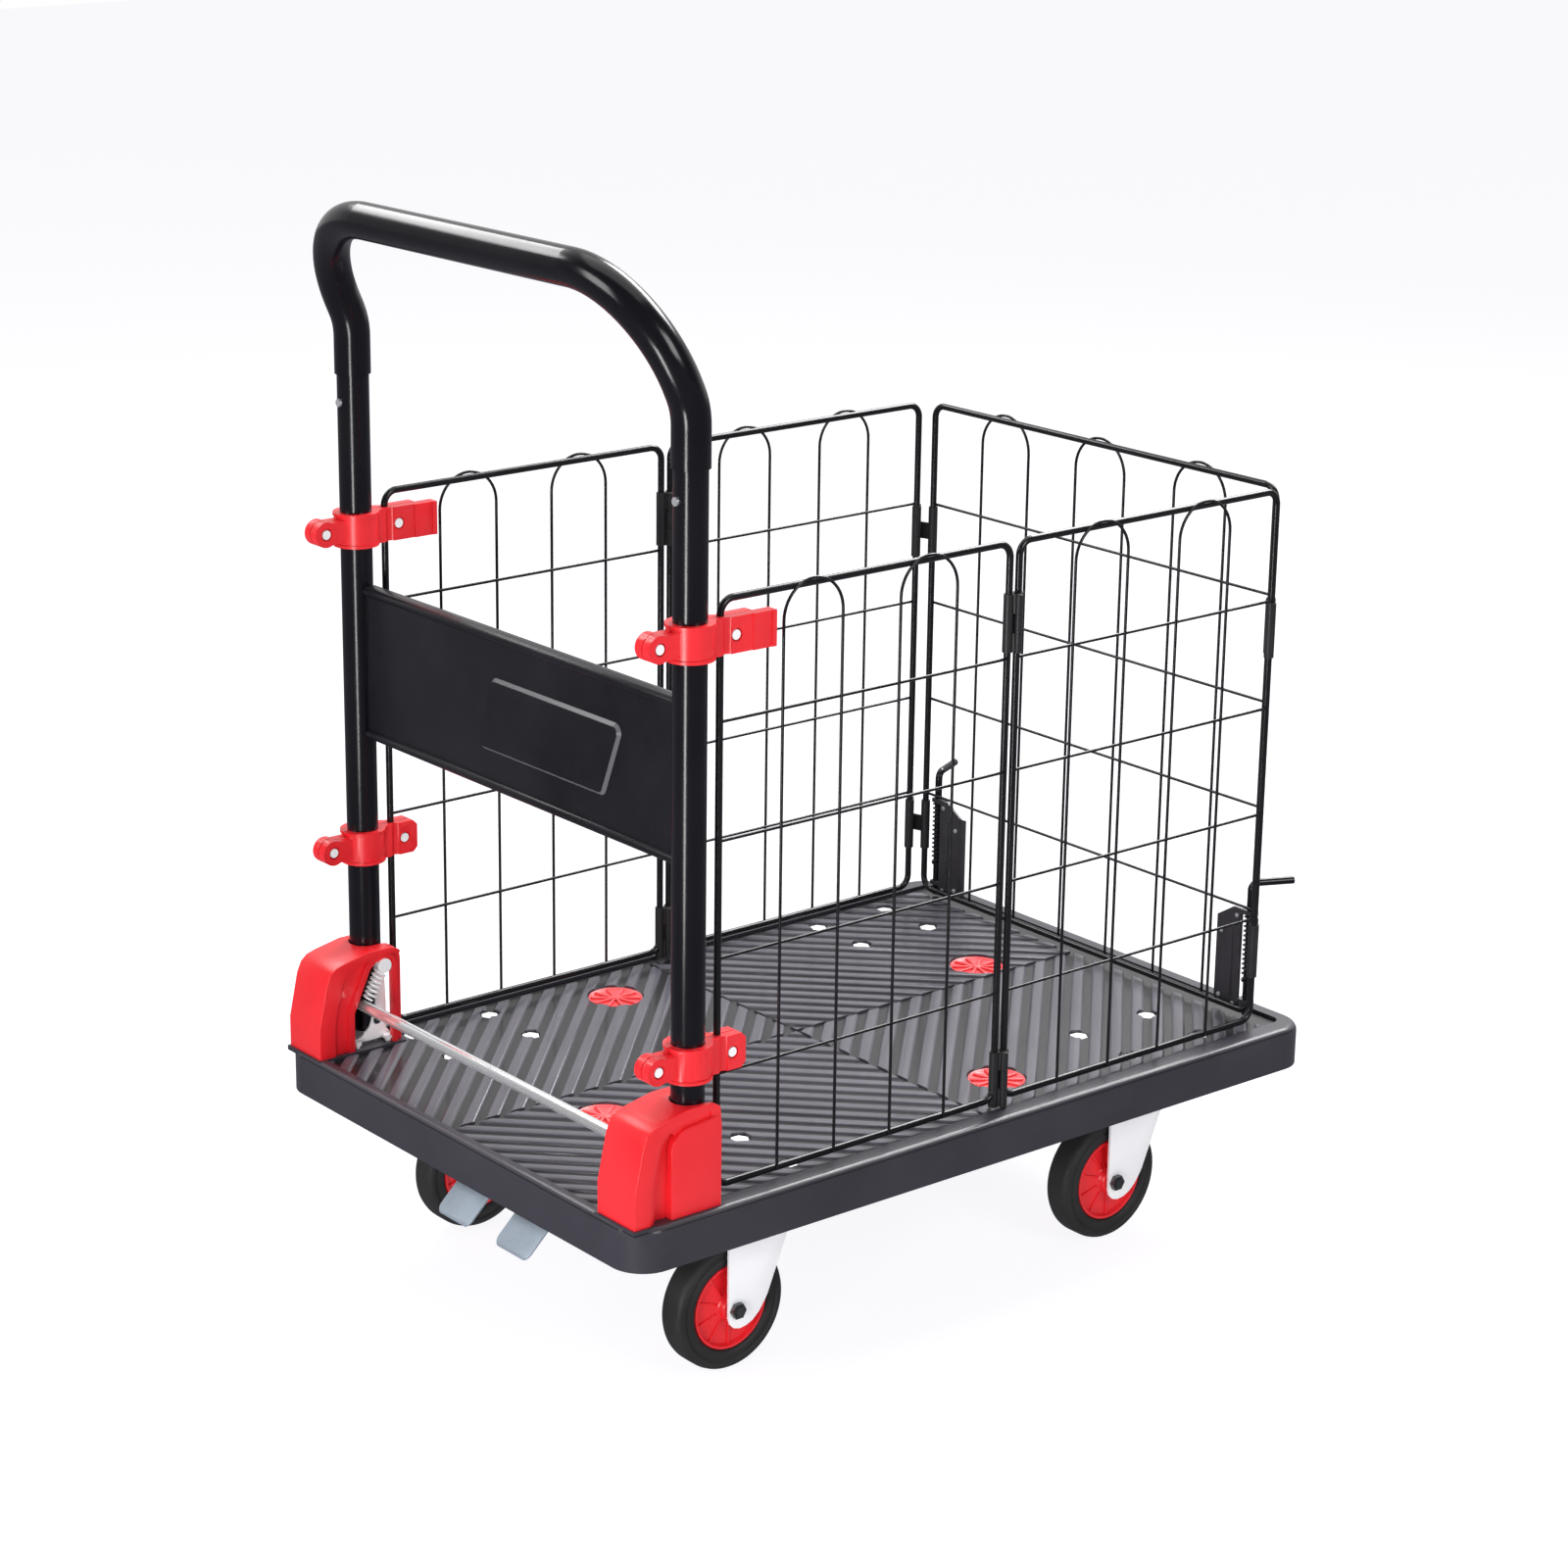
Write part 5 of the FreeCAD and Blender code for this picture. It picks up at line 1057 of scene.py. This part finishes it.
# %% Two pedals
pedal_low, pedal_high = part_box("brake_pedals")
skirt_x, rocker_y, rocker_z = deck_low.x, -80 * MM, pedal_high.z - 4 * MM
PEDAL_WIDTH, PEDALS_HALF = 53 * MM, 74.5 * MM
BAR_BACK, BAR_FRONT, BAR_LOW, BAR_HIGH = skirt_x + 14 * MM, skirt_x + 21 * MM, 165.5 * MM, 169.5 * MM
side_line = [(pedal_low.x, 139.5 * MM), (pedal_low.x, 142.5 * MM)]
side_line += [(skirt_x + ahead * MM, up * MM) for ahead, up in (
    (4.3, 163.5), (7.5, 166.8), (22, 166.8), (22, 164.0), (8, 164.0), (4.3, 160.5))]
brake_parts = []
for name, start in (("off", rocker_y - PEDALS_HALF), ("on", rocker_y + PEDALS_HALF - PEDAL_WIDTH)):
    pad = slab(f"pedal_{name}", side_line, start, start + PEDAL_WIDTH)
    round_edges(pad, 6 * MM, 4, lambda a, b: abs(a.y - b.y) < 1e-5 and max(a.x, b.x) < pedal_low.x + 1e-5)
    brake_parts.append(soften(pad, 0.6 * MM, 2, 40))
print("pedals:", [pad.name for pad in brake_parts])

# %% Bar, hanger, crank and rocker
bar = block("pedal_bar", (BAR_BACK, rocker_y - PEDALS_HALF, BAR_LOW),
            (BAR_FRONT, rocker_y + PEDALS_HALF, BAR_HIGH))
hanger = block("pedal_hanger", (BAR_BACK, rocker_y - 6 * MM, BAR_LOW),
               (BAR_FRONT, rocker_y + 6 * MM, rocker_z))
crank = block("pedal_crank", (pedal_high.x - 20 * MM, rocker_y, rocker_z - 3 * MM),
              (pedal_high.x - 8 * MM, rocker_y + 61 * MM, rocker_z + 3 * MM))
for part in (bar, hanger, crank):
    brake_parts.append(soften(part, 0.8 * MM, 2))
brake_parts.append(rod("rocker_rod", 4 * MM, (skirt_x + 8 * MM, rocker_y, rocker_z),
                       (pedal_high.x, rocker_y, rocker_z)))
fit(joined("pedal_set", brake_parts), "pedals", "pedal_steel", "brake_pedals")

# %% [markdown]
# ## Brackets of the drop bolts
# Each far corner has a folded plate with a slanted top, two ears that guide the bolt, and small
# rivets that show from inside the cage.

# %% The plate of a drop bolt
latch_low, latch_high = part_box("latch_brackets")
plate_x, base_z, top_z = latch_low.x, latch_low.z, latch_high.z
INNER_Y, OUTER_Y = -201 * MM, -235 * MM
bolt = middle_of("latch_spring_right")
plate = slab("latch_plate", [(INNER_Y, base_z), (INNER_Y, top_z - 14 * MM), (OUTER_Y + 12 * MM, top_z),
                             (OUTER_Y, top_z), (OUTER_Y, base_z)], plate_x, plate_x + 3 * MM, across="x")
flange = slab("latch_flange", [(plate_x, base_z), (plate_x, top_z - 14 * MM),
                               (plate_x + 10 * MM, top_z - 18 * MM), (plate_x + 10 * MM, base_z)],
              INNER_Y - 2 * MM, INNER_Y)
crease = block("latch_crease", (plate_x - 1.2 * MM, OUTER_Y + 10 * MM, base_z + 12 * MM),
               (plate_x + 1 * MM, OUTER_Y + 15 * MM, top_z - 22 * MM))
ears = [block(f"latch_ear_{i}", (plate_x, bolt.y - 6 * MM, z),
              (bolt.x + 6 * MM, OUTER_Y + 2 * MM, z + 5 * MM))
        for i, z in enumerate((base_z + 8 * MM, top_z - 5 * MM))]
carve(plate, flange, crease, *ears, how="UNION")
soften(plate, 0.5 * MM, 2, 40)
fit(mirrored_pair("latch_plates", plate), "cage_end", "satin_black", "latch_brackets", slot="black_paint")

# %% Its rivets
rivets = []
for i, (y, z) in enumerate(((INNER_Y - 7 * MM, base_z + 10 * MM), (OUTER_Y + 7 * MM, base_z + 5 * MM),
                            (INNER_Y - 7 * MM, top_z - 30 * MM), (OUTER_Y + 6 * MM, top_z - 8 * MM))):
    rivet = rod(f"latch_rivet_{i}", 2.6 * MM, (plate_x - 1.4 * MM, y, z), (plate_x + 0.5 * MM, y, z), 12)
    rivets.append(soften(rivet, 0.7 * MM, 2))
fit(mirrored_pair("latch_rivets", joined("right_rivets", rivets)), "cage_end", "zinc")

# %% [markdown]
# ## Brackets in the feet
# Behind each arch a pressed cheek carries the pin of the lock spring. It is narrow at the pin and
# spreads into a foot on the deck, so the dark room of the cover shows beside the spring. A second
# cheek stands on the far side of the post, and a base plate ties the two.

# %% One foot's bracket and its mirror
def side_view(*points):
    """An outline given in whole millimetres."""
    return [(x * MM, z * MM) for x, z in points]


CHEEK_IN, OUTER_IN, CHEEK_WALL = -248.5 * MM, -278 * MM, 3 * MM
BASE_BACK, BASE_FRONT, BASE_LOW, BASE_HIGH = -398, -344, 214.2, 217
cheek = slab("bracket_cheek", side_view(
    (BASE_BACK, BASE_LOW), (-397, 217.5), (-380, 222), (-370, 231), (-363, 250), (-362, 290), (-364, 304),
    (-352, 304), (-350, 252), (-350, 226), (BASE_FRONT, 218), (BASE_FRONT, BASE_LOW)),
    CHEEK_IN - CHEEK_WALL, CHEEK_IN)
outer_cheek = slab("bracket_outer", side_view(
    (BASE_BACK, BASE_LOW), (BASE_BACK, 240), (-370, 300), (-348, 304), (BASE_FRONT, BASE_LOW)),
    OUTER_IN - CHEEK_WALL, OUTER_IN)
base = block("bracket_base", (BASE_BACK * MM, OUTER_IN - CHEEK_WALL, BASE_LOW * MM),
             (BASE_FRONT * MM, CHEEK_IN, BASE_HIGH * MM))
for part in (cheek, outer_cheek, base):
    soften(part, 0.6 * MM, 2, 40)
fit(mirrored_pair("foot_brackets", joined("foot_bracket", [cheek, outer_cheek, base])),
    "chassis", "bright_zinc", "hinge_brackets", slot="zinc")
